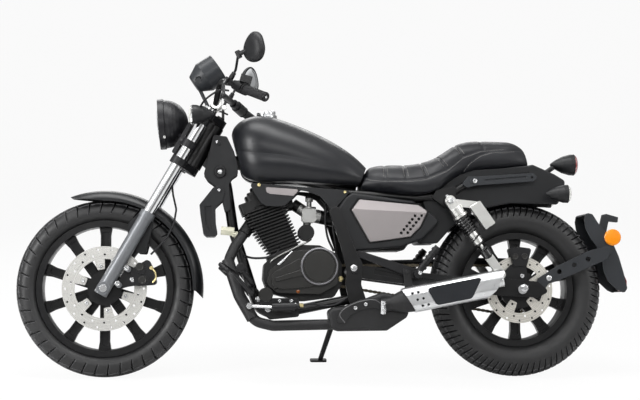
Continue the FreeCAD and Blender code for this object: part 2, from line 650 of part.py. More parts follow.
def mirror_head():
    """A teardrop shell with a rounded back, pointed at the top."""
    wires = []
    for depth, share in ((-17.0, 0.45), (-14.0, 0.72), (-6.0, 0.95), (9.0, 1.0)):
        curve = Part.BSplineCurve()
        curve.interpolate([V(across * share, depth, up * share) for across, up in MIRROR_OUTLINE], True)
        wires.append(Part.Wire(curve.toShape()))
    head = Part.makeLoft(wires, True, False)
    head.rotate(CENTRE, AXIS_Z, MIRROR_TURN)
    head.translate(MIRROR_CENTRE)
    return head


def mirror_heads():
    return both_sides(mirror_head())


POD_NOSE = on_fork(797.0, 100.0)
POD_DIR = V(-math.cos(math.radians(35)), 0, math.sin(math.radians(35)))      # towards the dial
POD_LENGTH = 107.0


def instrument_pod():
    """A blunt cone behind a round dial, on a short foot."""
    profile = [(0, 0.0), (0, 31.0), (3, 34.0), (46, 57.0), (POD_LENGTH, 55.0), (POD_LENGTH, 51.0),
               (POD_LENGTH - 5, 50.0), (POD_LENGTH - 5, 0.0)]
    pod = turned(profile, POD_NOSE, POD_DIR)
    dimple = rod(POD_NOSE + POD_DIR * 20 + V(0, 60, 0), POD_NOSE + POD_DIR * 20 + V(0, 34, 0), 12.0)
    low = on_fork(UPPER_YOKE + YOKE_THICK + TOUCH, 0.0)
    foot = bent_rod([low, low + UP_LEG * 9, on_fork(754, 18), POD_NOSE + POD_DIR * 24 - V(0, 0, 30)], 10.0, 6.5)
    return join([pod, foot]).cut(Part.makeCompound([dimple, mirrored(dimple)]))


def instrument_dial():
    face = POD_NOSE + POD_DIR * (POD_LENGTH - 5 + TOUCH)
    return rod(face, face + POD_DIR * 3, 49.5)


HOSE_R = 3.5
HOSE_ROUTE = ((1316, 436, 92), (1290, 462, 88), (1258, 500, 72), (1236, 548, 64), (1228, 598, 60), (1240, 650, 56),
              (1246, 704, 52), (1238, 760, 48))          # x, z, y


def brake_hose():
    """From the caliper's banjo up between the legs to the union under the lamp."""
    return bent_rod([V(x, y, z) for x, z, y in HOSE_ROUTE], 40.0, HOSE_R)


# ---- frame ---------------------------------------------------------------
HEAD_LOW = on_fork(LOWER_YOKE + YOKE_THICK + 1.5, -FORK_OFFSET)
HEAD_HIGH = on_fork(UPPER_YOKE - 1.5, -FORK_OFFSET)
BACKBONE_FROM = on_frame(520, 796)
BACKBONE_TO = on_frame(-14, 668)
DOWN_TUBE = ((486, 776), (452, 690), (428, 529), (357, 306))        # ahead of the pivot, z
CRADLE = ((360, 306, 26), (336, 246, 90), (288, 222, CRADLE_Y), (90, 262, CRADLE_Y), (-24, 284, CRADLE_Y))
PLATE_IN = 146.0
PLATE_OUT = 156.0
STAY_THICK = 7.0             # passenger pegs' stays, on the pivot plates' inner line
UPRIGHT = ((-44, 262), (20, 262), (34, 330), (30, 384), (52, 470), (94, 596), (56, 606), (6, 470), (-28, 400),
           (-22, 330))
RAILS = ((64, 660, RAIL_Y), (-220, 640, RAIL_Y), (-350, 656, RAIL_Y), (-430, 704, RAIL_Y), (-640, 724, RAIL_Y - 12))


def steering_bore():
    return rod(HEAD_LOW - UP_LEG * 5, HEAD_HIGH + UP_LEG * 5, STEM_R + FIT)


def frame_backbone():
    """Head tube, backbone and the gusset between them."""
    head = rod(HEAD_LOW, HEAD_HIGH, HEAD_TUBE_R)
    spine = rod(BACKBONE_FROM, BACKBONE_TO, BACKBONE_R)
    gusset = frame_slab([(500, 822), (440, 800), (420, 740), (470, 700), (550, 770)], -9, 9, 10.0)
    whole = join([head, spine, gusset]).cut(steering_bore())
    return whole.cut(Part.makeCompound([rod(HEAD_HIGH, HEAD_HIGH + UP_LEG * 90, 60), rod(HEAD_LOW, HEAD_LOW - UP_LEG * 90, 60)]))


def frame_cradle():
    """Down tube, the two lower tubes and the cross tubes between them."""
    down = bent_rod([on_frame(ahead, z) for ahead, z in DOWN_TUBE], 120.0, TUBE_R + 3)
    lower = bent_rod([on_frame(ahead, z, y) for ahead, z, y in CRADLE], 60.0, TUBE_R)
    front = rod(on_frame(352, 300, -34), on_frame(352, 300, 34), TUBE_R + 3)
    low_cross = rod(on_frame(288, 222, -CRADLE_Y), on_frame(288, 222, CRADLE_Y), 11.0)
    rear_cross = rod(on_frame(-24, 284, -PLATE_IN), on_frame(-24, 284, PLATE_IN), 12.0)
    whole = join([down, lower, mirrored(lower), front, low_cross, rear_cross])
    return whole.cut(frame_backbone())


def frame_plates():
    """Pivot plates with a stub in to each seat strut, and the long pivot bolt."""
    plate = frame_slab(UPRIGHT, PLATE_IN, PLATE_OUT, 14.0)
    stub = rod(on_frame(74, 596, RAIL_Y - 12), on_frame(74, 596, PLATE_IN), 11.0)
    bolt = rod(V(PIVOT_X, -PLATE_OUT - 9, PIVOT_Z), V(PIVOT_X, PLATE_OUT + 9, PIVOT_Z), 12.0)
    return join([plate, mirrored(plate), stub, mirrored(stub), bolt])


SHOCK_TOP = on_frame(-340, 626, SHOCK_Y)
SHOCK_LOW = V(76, SHOCK_Y, 366)


def frame_rear():
    """Seat rails, the struts down to the pivot plates and the shock mounts."""
    rail = bent_rod([on_frame(ahead, z, y) for ahead, z, y in RAILS], 60.0, 12.0)
    strut = rod(on_frame(74, 606, RAIL_Y), on_frame(62, 656, RAIL_Y), 11.0)
    brace = rod(on_frame(74, 596, RAIL_Y), on_frame(-350, 650, RAIL_Y), 8.0)
    mount = side_slab([(SHOCK_TOP.x + 44, 668), (SHOCK_TOP.x - 30, 682), (SHOCK_TOP.x - 22, 612),
                       (SHOCK_TOP.x + 14, 606), (SHOCK_TOP.x + 60, 640)], RAIL_Y + 2, RAIL_Y + 22, 10.0)
    pin = rod(V(SHOCK_TOP.x, RAIL_Y + 10, SHOCK_TOP.z), V(SHOCK_TOP.x, SHOCK_Y + 22, SHOCK_TOP.z), 8.0)
    side = join([rail, brace, strut, mount, pin])
    loop = rod(on_frame(-632, 723, -RAIL_Y + 12), on_frame(-632, 723, RAIL_Y - 12), 12.0)
    bridge = rod(on_frame(40, 659, -RAIL_Y), on_frame(40, 659, RAIL_Y), 12.0)
    whole = join([side, mirrored(side), loop, bridge])
    return whole.cut(frame_plates()).cut(frame_backbone())


def swingarm():
    """Two deep beams from the pivot tube to the axle blocks, braced in front of the tyre."""
    pivot = tube(V(PIVOT_X, -PLATE_IN + 1, PIVOT_Z), V(PIVOT_X, PLATE_IN - 1, PIVOT_Z), 17.0, 12.0 + FIT)
    beam = side_slab([(PIVOT_X + 8, PIVOT_Z + 22), (PIVOT_X + 8, PIVOT_Z - 24), (390, 328), (90, 292), (-60, 284),
                      (-98, 306), (-60, 340), (60, 352), (90, 372), (110, 372), (130, 350), (400, 376)],
                     ARM_Y - 13, ARM_Y + 13, 10.0)
    window = side_slab([(PIVOT_X - 70, 386), (PIVOT_X - 66, 366), (430, 350), (150, 320), (150, 332), (400, 356)],
                       ARM_Y + 6, ARM_Y + 14, 6.0)
    beam = beam.cut(window).cut(rod(V(0, 0, REAR_R), V(0, 400, REAR_R), REAR_AXLE_R + TOUCH))
    beam = beam.cut(rod(V(PIVOT_X, 0, PIVOT_Z), V(PIVOT_X, 200, PIVOT_Z), 12.0 + FIT))
    cross = rod(V(402, -ARM_Y, 352), V(402, ARM_Y, 352), 17.0)
    pin = rod(V(SHOCK_LOW.x, ARM_Y, SHOCK_LOW.z), V(SHOCK_LOW.x, SHOCK_Y + 16, SHOCK_LOW.z), 7.0)
    return join([pivot, beam, mirrored(beam), cross, pin, mirrored(pin)])


def rear_axle():
    half = ARM_Y + 13
    shaft = rod(V(0, -half - 6, REAR_R), V(0, half + 6, REAR_R), REAR_AXLE_R)
    nuts = [rod(V(0, side * (half + TOUCH), REAR_R), V(0, side * (half + 18), REAR_R), 16.0) for side in (-1, 1)]
    left = rod(V(0, REAR_DISC_Y + DISC_THICK / 2, REAR_R), V(0, ARM_Y - 13 - TOUCH, REAR_R), 18.0)
    right = rod(V(0, -ARM_Y + 13 + TOUCH, REAR_R), V(0, CHAIN_Y - 3.5 - TOUCH, REAR_R), 18.0)
    return join([shaft, left, right] + nuts)


def shock_frame(up, out=0.0, y=SHOCK_Y):
    """A point measured down the shock from its upper eye, and rearwards across it."""
    run = (SHOCK_LOW - SHOCK_TOP).normalize()
    across = V(run.z, 0, -run.x)
    return V(SHOCK_TOP.x, y, SHOCK_TOP.z) + run * up + across * out


SPRING_FROM = 69.0          # down the shock, below the spring's top seat
SPRING_TO = 136.0


def shock_slab(corners, half, radius):
    """A plate in the shock's plane, from (down, rearwards) corners."""
    points = [shock_frame(down, out, SHOCK_Y - half) for down, out in corners]
    return Part.Face(rounded_edges(points, radius, True)).extrude(V(0, 2 * half, 0))


def shocks():
    """Eyes, damper body, rod and the square reservoir behind, on its bridge."""
    length = (SHOCK_LOW - SHOCK_TOP).Length
    eye = rod(shock_frame(0, 0, SHOCK_Y - 14), shock_frame(0, 0, SHOCK_Y + 14), 19.0)
    neck = shock_slab([(0, -19), (0, 19), (40, 19), (40, -19)], 13.0, 4.0)
    rings = [rod(shock_frame(start), shock_frame(end), radius) for start, end, radius in
             ((30, 58, 24.0), (60, SPRING_FROM - TOUCH, 28.0), (SPRING_TO + TOUCH, 153, 17.0), (158, 182, 18.5),
              (214, 238, 18.0))]
    body = rod(shock_frame(40), shock_frame(180), 13.0)
    shaft = rod(shock_frame(178), shock_frame(250), 6.0)
    clevis = shock_slab([(236, -15), (236, 15), (length - 4, 15), (length - 4, -15)], 8.5, 4.0)
    low_eye = rod(shock_frame(length, 0, SHOCK_Y - 8.5), shock_frame(length, 0, SHOCK_Y + 12), 15.0)
    tank = shock_slab([(58, 44), (58, 86), (155, 86), (155, 44)], 19.0, 5.0)
    bridge = shock_slab([(8, 14), (8, 22), (58, 80), (64, 48), (38, 18)], 7.0, 3.0)
    whole = join([eye, neck, body, shaft, clevis, low_eye, tank, bridge] + rings)
    whole = whole.cut(rod(V(SHOCK_TOP.x, 0, SHOCK_TOP.z), V(SHOCK_TOP.x, 300, SHOCK_TOP.z), 8.0 + TOUCH))
    whole = whole.cut(rod(V(SHOCK_LOW.x, 0, SHOCK_LOW.z), V(SHOCK_LOW.x, 300, SHOCK_LOW.z), 7.0 + TOUCH))
    return both_sides(whole)


def shock_springs():
    """Black coils, as a stack of rings round a thin sleeve."""
    coils = 6
    pitch = (SPRING_TO - SPRING_FROM) / coils
    profile = [(SPRING_FROM, 13.0 + TOUCH)]
    for i in range(coils):
        start = SPRING_FROM + i * pitch
        profile += [(start, 21.0), (start + 0.14 * pitch, 26.5), (start + 0.5 * pitch, 26.5), (start + 0.64 * pitch, 21.0)]
    profile += [(SPRING_TO, 21.0), (SPRING_TO, 13.0 + TOUCH)]
    run = (SHOCK_LOW - SHOCK_TOP).normalize()
    return both_sides(turned(profile, SHOCK_TOP, run))


# ---- chain drive ---------------------------------------------------------
FRONT_SPROCKET = on_frame(66, 368)
FRONT_TEETH = 14
CHAIN_THICK = 13.0
CHAIN_LINKS = 102
SPROCKET_SPACE_R = 50.0     # room in the crankcase round the front sprocket


def loop_points(centre_a, radius_a, centre_b, radius_b, count):
    """Evenly spaced points round two pulleys, with the way out at each."""
    run = math.hypot(centre_b[0] - centre_a[0], centre_b[1] - centre_a[1])
    base = math.atan2(centre_b[1] - centre_a[1], centre_b[0] - centre_a[0])
    swing = math.acos((radius_a - radius_b) / run)
    straight = math.sqrt(run ** 2 - (radius_a - radius_b) ** 2)
    arc_b = radius_b * 2 * swing
    arc_a = radius_a * (2 * math.pi - 2 * swing)
    total = 2 * straight + arc_a + arc_b
    points = []
    for i in range(count):
        along = total * i / count
        if along < arc_b:
            angle = base - swing + along / radius_b
            centre, radius, extra = centre_b, radius_b, 0.0
        elif along < arc_b + straight:
            angle, centre, radius, extra = base + swing, centre_b, radius_b, along - arc_b
        elif along < arc_b + straight + arc_a:
            angle = base + swing + (along - arc_b - straight) / radius_a
            centre, radius, extra = centre_a, radius_a, 0.0
        else:
            angle = base - swing
            centre, radius, extra = centre_a, radius_a, along - arc_b - straight - arc_a
        out = (math.cos(angle), math.sin(angle))
        way = (-out[1], out[0])
        points.append((centre[0] + out[0] * radius + way[0] * extra, centre[1] + out[1] * radius + way[1] * extra, out))
    return points


def chain():
    """One closed loop of links, with a wide place at each pin and a waist between."""
    small = CHAIN_PITCH * FRONT_TEETH / (2 * math.pi)
    front = (FRONT_SPROCKET.x, FRONT_SPROCKET.z)
    rims = []
    for side in (1, -1):
        rim = []
        for i, (x, z, out) in enumerate(loop_points((0.0, REAR_R), SPROCKET_PITCH_R, front, small, 2 * CHAIN_LINKS)):
            half = CHAIN_HALF if i % 2 == 0 else CHAIN_HALF - 1.8
            rim.append((x + side * out[0] * half, z + side * out[1] * half))
        rims.append(side_slab(rim, CHAIN_Y - CHAIN_THICK / 2, CHAIN_Y + CHAIN_THICK / 2))
    return rims[0].cut(rims[1])


def front_sprocket():
    """The drive sprocket on the gearbox shaft, with its cover plate."""
    radius = CHAIN_PITCH * FRONT_TEETH / (2 * math.pi) - CHAIN_HALF - TOUCH
    plate = rod(V(FRONT_SPROCKET.x, CHAIN_Y - 4, FRONT_SPROCKET.z), V(FRONT_SPROCKET.x, CHAIN_Y + 4, FRONT_SPROCKET.z), radius)
    return plate


def chain_guard():
    """A folded cover over the chain's upper run, on two tabs."""
    inner, outer = CHAIN_Y + 10, ARM_Y - 13 - 2
    top = side_slab([(470, 422), (80, 432), (-60, 428), (-104, 388), (-92, 382), (-52, 418), (80, 422), (470, 414)],
                    -outer, inner, 4.0)
    skirt = side_slab([(470, 422), (80, 432), (-60, 428), (-104, 388), (-92, 382), (-50, 400), (80, 402), (470, 398)],
                      -outer - 3, -outer, 4.0)
    tabs = [side_slab([(x - 12, 405), (x + 12, 405), (x + 12, 336), (x - 12, 336)], -outer - 1.8, -outer) for x in (446, 40)]
    return join([top, skirt] + tabs)


# ---- engine --------------------------------------------------------------
ENGINE_LEAN = 20.0          # degrees the cylinder leans forward
BORE_DIR = V(math.sin(math.radians(ENGINE_LEAN)), 0, math.cos(math.radians(ENGINE_LEAN)))
BORE_SIDE = V(BORE_DIR.z, 0, -BORE_DIR.x)
BARREL_BASE = on_frame(252, 452)
BARREL_HEIGHT = 128.0
FINS = 11
FIN_THICK = 4.6
CRANKCASE = ((304, 300), (322, 350), (318, 404), (270, 446), (200, 472), (120, 470), (60, 440), (40, 400), (42, 330),
             (70, 284), (180, 270))
CASE_HALF = 92.0
PORT_END = (104.0, 108.0, 46.0)                     # up the cylinder, ahead, y
INTAKE_END = (146.0, -96.0)


def on_bore(up, ahead, y=0.0):
    """A point measured up the cylinder from its base, and forward across it."""
    return BARREL_BASE + BORE_DIR * up + BORE_SIDE * ahead + AXIS_Y * y


def bore_block(up_from, up_to, ahead_from, ahead_to, half, round_off=0.0):
    corners = [on_bore(up_from, ahead_from, -half), on_bore(up_from, ahead_to, -half),
               on_bore(up_from, ahead_to, half), on_bore(up_from, ahead_from, half)]
    wire = rounded_edges(corners, round_off, True) if round_off else Part.makePolygon(corners + corners[:1])
    return Part.Face(wire).extrude(BORE_DIR * (up_to - up_from))


def sprocket_space():
    """Room for the front sprocket and the chain round it."""
    return rod(V(FRONT_SPROCKET.x, CHAIN_Y - 40, FRONT_SPROCKET.z), V(FRONT_SPROCKET.x, CHAIN_Y + 11, FRONT_SPROCKET.z),
               SPROCKET_SPACE_R)


def crankcase():
    """The split cases, cut to seat the barrel."""
    block = frame_slab(CRANKCASE, -CASE_HALF, CASE_HALF, 22.0)
    deck = bore_block(-60, 0, -58, 62, 66, 14.0)
    above = bore_block(0, 200, -200, 200, 200)
    mount = rod(on_frame(300, 330, -CASE_HALF), on_frame(300, 330, CASE_HALF), 14.0)
    return join([block, deck, mount]).cut(above).cut(sprocket_space())


def exhaust_port(extra):
    """The port's boss, from the head forward and down past the top of the barrel."""
    return rod(on_bore(152, 40, 28), on_bore(*PORT_END), 23.0 + extra)


def barrel():
    """A square liner under wide fins, both reaching further forward as they near the head."""
    sides = [on_bore(up, ahead, -60) for up, ahead in
             ((TOUCH, -60), (TOUCH, 44), (BARREL_HEIGHT, 74), (BARREL_HEIGHT, -52))]
    pieces = [Part.Face(Part.makePolygon(sides + sides[:1])).extrude(V(0, 120, 0))]
    pitch = (BARREL_HEIGHT - 12) / (FINS - 1)
    for i in range(FINS):
        share = i / (FINS - 1)
        up = 6 + i * pitch
        pieces.append(bore_block(up, up + FIN_THICK, -72 + 8 * share, 56 + 32 * share, 72 + 14 * share, 16.0))
    return join(pieces).cut(exhaust_port(TOUCH))


def cylinder_head():
    """Finned head with its rocker cover, exhaust port ahead and intake port behind."""
    low = BARREL_HEIGHT + TOUCH
    core = bore_block(low, low + 62, -60, 70, 64, 16.0)
    fins = [bore_block(low + 4 + 11 * i, low + 8.6 + 11 * i, -70, 88 - i, 86 - i, 16.0) for i in range(4)]
    cover = bore_block(low + 50, low + 98, -66, 62, 66, 22.0)
    lid = bore_block(low + 98, low + 108, -56, 50, 56, 20.0)
    housing = bore_block(low + 36, low + 78, 32, 92, 66, 12.0)
    intake = rod(on_bore(low + 24, -50), on_bore(*INTAKE_END), 22.0)
    return join([core, cover, lid, housing, intake, exhaust_port(0)] + fins)


COVER_CENTRE = on_frame(124, 394)
COVER_R = 66.0


def engine_covers():
    """Side covers: a raised round cover running into a long teardrop, and a plainer one on the right."""
    base = frame_slab([(310, 330), (300, 380), (214, 448), (100, 458), (52, 400), (60, 330), (120, 296), (270, 300)],
                      CASE_HALF + TOUCH, CASE_HALF + 26, 20.0)
    drum = rod(V(COVER_CENTRE.x, CASE_HALF + TOUCH, COVER_CENTRE.z), V(COVER_CENTRE.x, CASE_HALF + 50, COVER_CENTRE.z), COVER_R)
    dish = tube(V(COVER_CENTRE.x, CASE_HALF + 46, COVER_CENTRE.z), V(COVER_CENTRE.x, CASE_HALF + 51, COVER_CENTRE.z),
                COVER_R - 9, COVER_R - 12)
    ridge = frame_slab([(276, 340), (282, 352), (156, 392), (148, 384), (170, 366)], CASE_HALF + 20, CASE_HALF + 48, 5.0)
    swell = frame_slab([(296, 336), (286, 372), (196, 420), (120, 420), (110, 350), (150, 322), (260, 312)],
                       CASE_HALF + 20, CASE_HALF + 38, 24.0)
    left = join([base, swell, drum, ridge]).cut(dish)
    right_plate = frame_slab([(300, 330), (286, 400), (200, 446), (90, 440), (56, 400), (60, 330), (120, 290), (270, 296)],
                             -CASE_HALF - 30, -CASE_HALF - TOUCH, 20.0)
    right_drum = rod(on_frame(206, 368, -CASE_HALF - 46), on_frame(206, 368, -CASE_HALF - TOUCH), 70.0)
    right = join([right_plate, right_drum])
    return Part.makeCompound([left, right.cut(sprocket_space())])


def throttle_body():
    """Squat body with a neck above, its boots to the head and the air box, and a round cap below."""
    middle = on_frame(156, 584, 12)
    body = frame_slab([(181, 604), (181, 562), (172, 554), (138, 554), (129, 562), (129, 604)], -16, 44, 6.0)
    collar = rod(on_frame(156, 600, 14), on_frame(156, 611, 14), 27.0)
    neck = rod(on_frame(154, 606, 18), on_frame(154, 634, 18), 9.0)
    cap = rod(on_frame(154, 630, 18), on_frame(154, 648, 18), 14.0)
    boot = rod(on_bore(*INTAKE_END) - BORE_SIDE * TOUCH, middle, 21.0)
    duct = rod(middle, on_frame(16, 556), 25.0)
    stem = rod(on_frame(160, 560, 14), on_frame(166, 517, 14), 14.0)
    pump = rod(on_frame(166, 517, -14), on_frame(166, 517, 54), 29.0)
    return join([body, collar, neck, cap, boot, duct, stem, pump]).cut(cylinder_head()).cut(barrel())


def air_box():
    """Plain black box between the side covers."""
    box = frame_slab([(14, 450), (26, 560), (-6, 634), (-240, 622), (-262, 560), (-180, 452)], -90, 90, 16.0)
    return box.cut(throttle_body()).cut(frame_rear())


OIL_CAP_AT = (313.0, 294.0)                         # ahead of the pivot, z
OIL_CAP_R = 25.0


def oil_filter_cap():
    cap = rod(on_frame(*OIL_CAP_AT, CASE_HALF - 20), on_frame(*OIL_CAP_AT, CASE_HALF + 52), OIL_CAP_R)
    return cap.cut(crankcase()).cut(engine_covers())


# ---- exhaust -------------------------------------------------------------
# after the port: ahead of the pivot, z, y
HEADER = ((422, 466, 72), (446, 412, 96), (404, 290, 128), (352, 200, 148), (290, 185, 152), (70, 190, 156))
HEADER_R = 18.5
BOX_IN = 112.0
BOX_OUT = 204.0
COLLECTOR = ((98, 236), (80, 248), (40, 252), (-92, 300), (-150, 292), (-186, 232), (-178, 214), (-108, 168),
             (66, 166), (90, 178))
BOX_RIB = ((70, 196), (60, 226), (30, 258), (-20, 278), (-66, 282), (-96, 268), (-92, 240), (-60, 248), (-14, 240),
           (22, 222), (40, 194))


def exhaust_header():
    """Pipe from the port, past the down tube, under the engine and back to the box, with a heat shield."""
    places = [on_frame(ahead, z, y) for ahead, z, y in HEADER]
    pipe = bent_rod([on_bore(*PORT_END) + V(0, 0, -TOUCH)] + places, 55.0, HEADER_R)
    shield = bent_rod([places[1] + V(2, 4, 6), places[2] + V(2, 4, 0), places[3] + V(8, 4, 10)], 120.0, HEADER_R + 3)
    return join([pipe, shield]).cut(cylinder_head())


def exhaust_box():
    """The wide collector box low on the left, with its arched rib and two bolts."""
    box = frame_slab(COLLECTOR, BOX_IN, BOX_OUT, 16.0)
    box = softened(box, 12.0, lambda edge: abs(edge.CenterOfMass.y - BOX_OUT) < 0.1)
    rib = frame_slab(BOX_RIB, BOX_OUT - 16, BOX_OUT + 5, 10.0)
    bolts = [rod(on_frame(ahead, z, BOX_OUT), on_frame(ahead, z, BOX_OUT + 10), 7.0) for ahead, z in ((4, 247), (-32, 260))]
    return join([box, rib] + bolts).cut(frame_cradle()).cut(frame_plates())


SILENCER = ((-152, 314), (-512, 383), (-514, 366), (-486, 308), (-454, 277), (-209, 230))
SILENCER_Y = 212.0
SILENCER_WIDE = 88.0
SILENCER_DEEP = 91.0
SILENCER_MIDDLE = (-330, 302)                       # a point on its axis
SILENCER_RISE = 10.9        # degrees it climbs to the rear
SILENCER_CORNER = 30.0
PANEL = ((-238, 317), (-436, 356), (-424, 330), (-400, 280), (-276, 256))
PANEL_DEEP = 4.0


def silencer_run():
    return V(-math.cos(math.radians(SILENCER_RISE)), 0, math.sin(math.radians(SILENCER_RISE)))


def silencer_can():
    """The can's outside: a round-cornered bar cut to its slanted outline."""
    run = silencer_run()
    rise = V(run.z, 0, -run.x)
    middle = on_frame(*SILENCER_MIDDLE, SILENCER_Y)
    corners = []
    for across, up in ((-0.5, -0.5), (0.5, -0.5), (0.5, 0.5), (-0.5, 0.5)):
        corners.append(middle - run * 260 + AXIS_Y * (across * SILENCER_WIDE) + rise * (up * SILENCER_DEEP))
    bar = Part.Face(rounded_edges(corners, SILENCER_CORNER, True)).extrude(run * 520)
    return bar.common(frame_slab(SILENCER, SILENCER_Y - SILENCER_WIDE, SILENCER_Y + SILENCER_WIDE, 8.0))


def silencer():
    """A slanted can with an inset side panel, six vents and an outlet."""
    face = SILENCER_Y + SILENCER_WIDE / 2
    can = silencer_can().cut(frame_slab(PANEL, face - PANEL_DEEP, face + 1, 14.0))
    outlet = rod(on_frame(-492, 339, SILENCER_Y), on_frame(-516, 344, SILENCER_Y), 22.0)
    bore = rod(on_frame(-470, 335, SILENCER_Y), on_frame(-530, 347, SILENCER_Y), 17.0)
    holes = []
    for row in range(3):
        for column in range(2):
            at = on_frame(-191 - 18 * row - 20.5 * column, 297 - 21 * row + 4.5 * column, face - 6)
            holes.append(rod(at, at + V(0, 10, 0), 4.8))
    return join([can, outlet]).cut(bore).cut(Part.makeCompound(holes)).cut(exhaust_box())


def silencer_inlet():
    """Rounded cone from the box into the can's slanted front."""
    start = on_frame(*SILENCER_MIDDLE, SILENCER_Y) - silencer_run() * 246
    profile = [(0, 0.0), (0, 24.0), (30, 24.0), (48, 30.0), (66, 36.0), (88, 40.5), (112, 42.5), (200, 42.5), (200, 0.0)]
    return turned(profile, start, silencer_run()).cut(silencer_can())


def silencer_hanger():
    """Tab down from the passenger pegs' stay, with a post in to the can."""
    inner = PLATE_IN + STAY_THICK + TOUCH
    tab = frame_slab([(-168, 388), (-198, 378), (-204, 296), (-180, 290)], inner, inner + 6, 6.0)
    post = rod(on_frame(-190, 304, inner + 3), on_frame(-190, 304, SILENCER_Y - 30), 8.0)
    bolt = rod(on_frame(-184, 374, inner + 5), on_frame(-184, 374, inner + 11), 7.0)
    return join([tab, post, bolt]).cut(silencer_can()).cut(exhaust_box()).cut(silencer_inlet())


def silencer_panel():
    face = SILENCER_Y + SILENCER_WIDE / 2
    inner = frame_slab(PANEL, face - PANEL_DEEP + TOUCH, face + 1, 14.0)
    inner.scale(0.985, inner.CenterOfMass)
    return inner


# ---- tank, seat and panels -----------------------------------------------
def station_wire(low, high, half, foot, waist, crown):
    """One slice of a lofted body: low and high are its (x, z) ends, half its half width.

    foot is the flat bottom's share of the width, waist the height share where the side
    is widest, and crown how square the top corners are (2 is an ellipse).
    """
    base = V(low[0], 0, low[1])
    rise = V(high[0], 0, high[1]) - base

    def at(y, share):
        return base + rise * share + AXIS_Y * (y * half)

    bend = 0.5 ** (1.0 / crown)
    right = [at(foot, 0), at(foot + (1 - foot) * 0.74, waist * 0.26), at(1, waist)]
    over = [at(1, waist), at(bend, waist + (1 - waist) * bend), at(0, 1)]
    left_over = [V(p.x, -p.y, p.z) for p in reversed(over)]
    left = [V(p.x, -p.y, p.z) for p in reversed(right)]
    edges = [Part.LineSegment(left[2], right[0]).toShape()]
    for arc in (right, over, left_over, left):
        edges.append(Part.Arc(*arc).toShape())
    return Part.Wire(edges)


# bottom ahead, z; top ahead, z; half width; flat share; waist; squareness
TANK = (
    (402, 752, 434, 868, 40, 0.60, 0.50, 2.3),
    (394, 722, 420, 906, 82, 0.66, 0.46, 2.4),
    (362, 703, 376, 934, 116, 0.72, 0.42, 2.4),
    (262, 698, 262, 928, 136, 0.76, 0.40, 2.3),
    (130, 692, 124, 872, 132, 0.78, 0.40, 2.2),
    (20, 686, 4, 800, 112, 0.76, 0.42, 2.2),
    (-20, 682, -50, 750, 90, 0.72, 0.45, 2.2),
)


def loft(stations):
    wires = []
    for low_x, low_z, high_x, high_z, half, foot, waist, crown in stations:
        wires.append(station_wire((PIVOT_X + low_x, low_z), (PIVOT_X + high_x, high_z), half, foot, waist, crown))
    return Part.makeLoft(wires, True, False)


def fuel_tank():
    tank = loft(TANK)
    rise = 6.0
    tunnel = frame_slab([(540, 640), (540, 801 + BACKBONE_R + rise), (-30, 664 + BACKBONE_R + rise), (-30, 640)],
                        -BACKBONE_R - rise, BACKBONE_R + rise)
    return tank.cut(tunnel)


CAP_AT = on_frame(308, 934)
CAP_DIR = V(0.1, 0, 0.995)


def tank_cap():
    """Low round filler cap with a stepped rim."""
    profile = [(-12, 0.0), (-12, 30.0), (-4, 37.0), (6, 38.0), (6, 34.0), (11, 33.0), (13, 35.0), (22, 34.0), (24, 31.0),
               (24, 25.0), (21, 23.0), (21, 0.0)]
    return turned(profile, CAP_AT, CAP_DIR).cut(fuel_tank())


# bottom ahead, z; top ahead, z; half width; flat share; waist; squareness
SEAT = (
    (-24, 672, -56, 746, 84, 0.80, 0.45, 2.4),
    (-60, 667, -72, 748, 104, 0.82, 0.46, 2.5),
    (-120, 664, -118, 747, 132, 0.86, 0.48, 2.6),
    (-226, 652, -226, 750, 148, 0.88, 0.46, 2.6),
    (-300, 668, -310, 779, 138, 0.88, 0.44, 2.6),
    (-362, 716, -384, 831, 116, 0.86, 0.42, 2.6),
    (-420, 738, -446, 843, 106, 0.86, 0.42, 2.6),
    (-530, 748, -534, 841, 100, 0.86, 0.42, 2.6),
    (-606, 752, -604, 832, 88, 0.84, 0.42, 2.5),
    (-640, 754, -630, 804, 66, 0.80, 0.45, 2.4),
)


def seat():
    return loft(SEAT).cut(frame_rear())


NECK_COVER = ((500, 868), (452, 862), (426, 808), (412, 756), (412, 726), (432, 712), (444, 690), (438, 600),
              (456, 586), (478, 672), (520, 704), (534, 726))


def neck_covers():
    """Cheek plates each side of the head tube, with the lock's ring."""
    plate = frame_slab(NECK_COVER, 44, 49, 10.0)
    flange = frame_slab([(458, 853), (492, 857), (491, 862), (457, 858)], 20, 46)
    ring = tube(on_frame(476, 734, 46), on_frame(476, 734, 56), 21.0, 12.0)
    bolt = rod(on_frame(480, 838, 46), on_frame(480, 838, 53), 7.0)
    side = join([plate, flange, ring, bolt]).cut(fuel_tank()).cut(frame_backbone())
    return both_sides(side)


HORN_COVER = ((500, 678), (549, 616), (546, 582), (535, 512), (524, 502), (494, 502), (484, 514), (490, 548),
              (492, 606), (466, 630), (458, 664), (478, 684))


def horn_cover():
    """Moulded cover hung ahead of the down tube, with a recess in each side."""
    body = frame_slab(HORN_COVER, -52, 52, 8.0)
    recess = frame_slab([(532, 610), (506, 612), (502, 528), (512, 518), (526, 546)], 46, 60, 5.0)
    body = body.cut(recess).cut(mirrored(recess))
    hollow = frame_slab([(502, 640), (500, 514), (440, 480), (440, 700), (470, 700)], -44, 44)
    arm = frame_slab([(500, 648), (500, 662), (470, 690), (446, 690), (442, 650)], -20, 20)
    bolt = rod(on_frame(476, 668, 51), on_frame(476, 668, 57), 6.0)
    bolts = [bolt, mirrored(bolt)]
    return join([body.cut(hollow), arm] + bolts).cut(frame_cradle()).cut(frame_backbone())


TRIM = ((372, 690), (13, 664), (22, 650), (76, 590), (88, 598), (92, 612), (122, 644), (166, 660), (190, 664),
        (232, 622), (246, 610), (270, 606), (312, 608), (330, 618), (352, 650))
INSERT = ((314, 676), (192, 668), (214, 642), (300, 650), (312, 656))


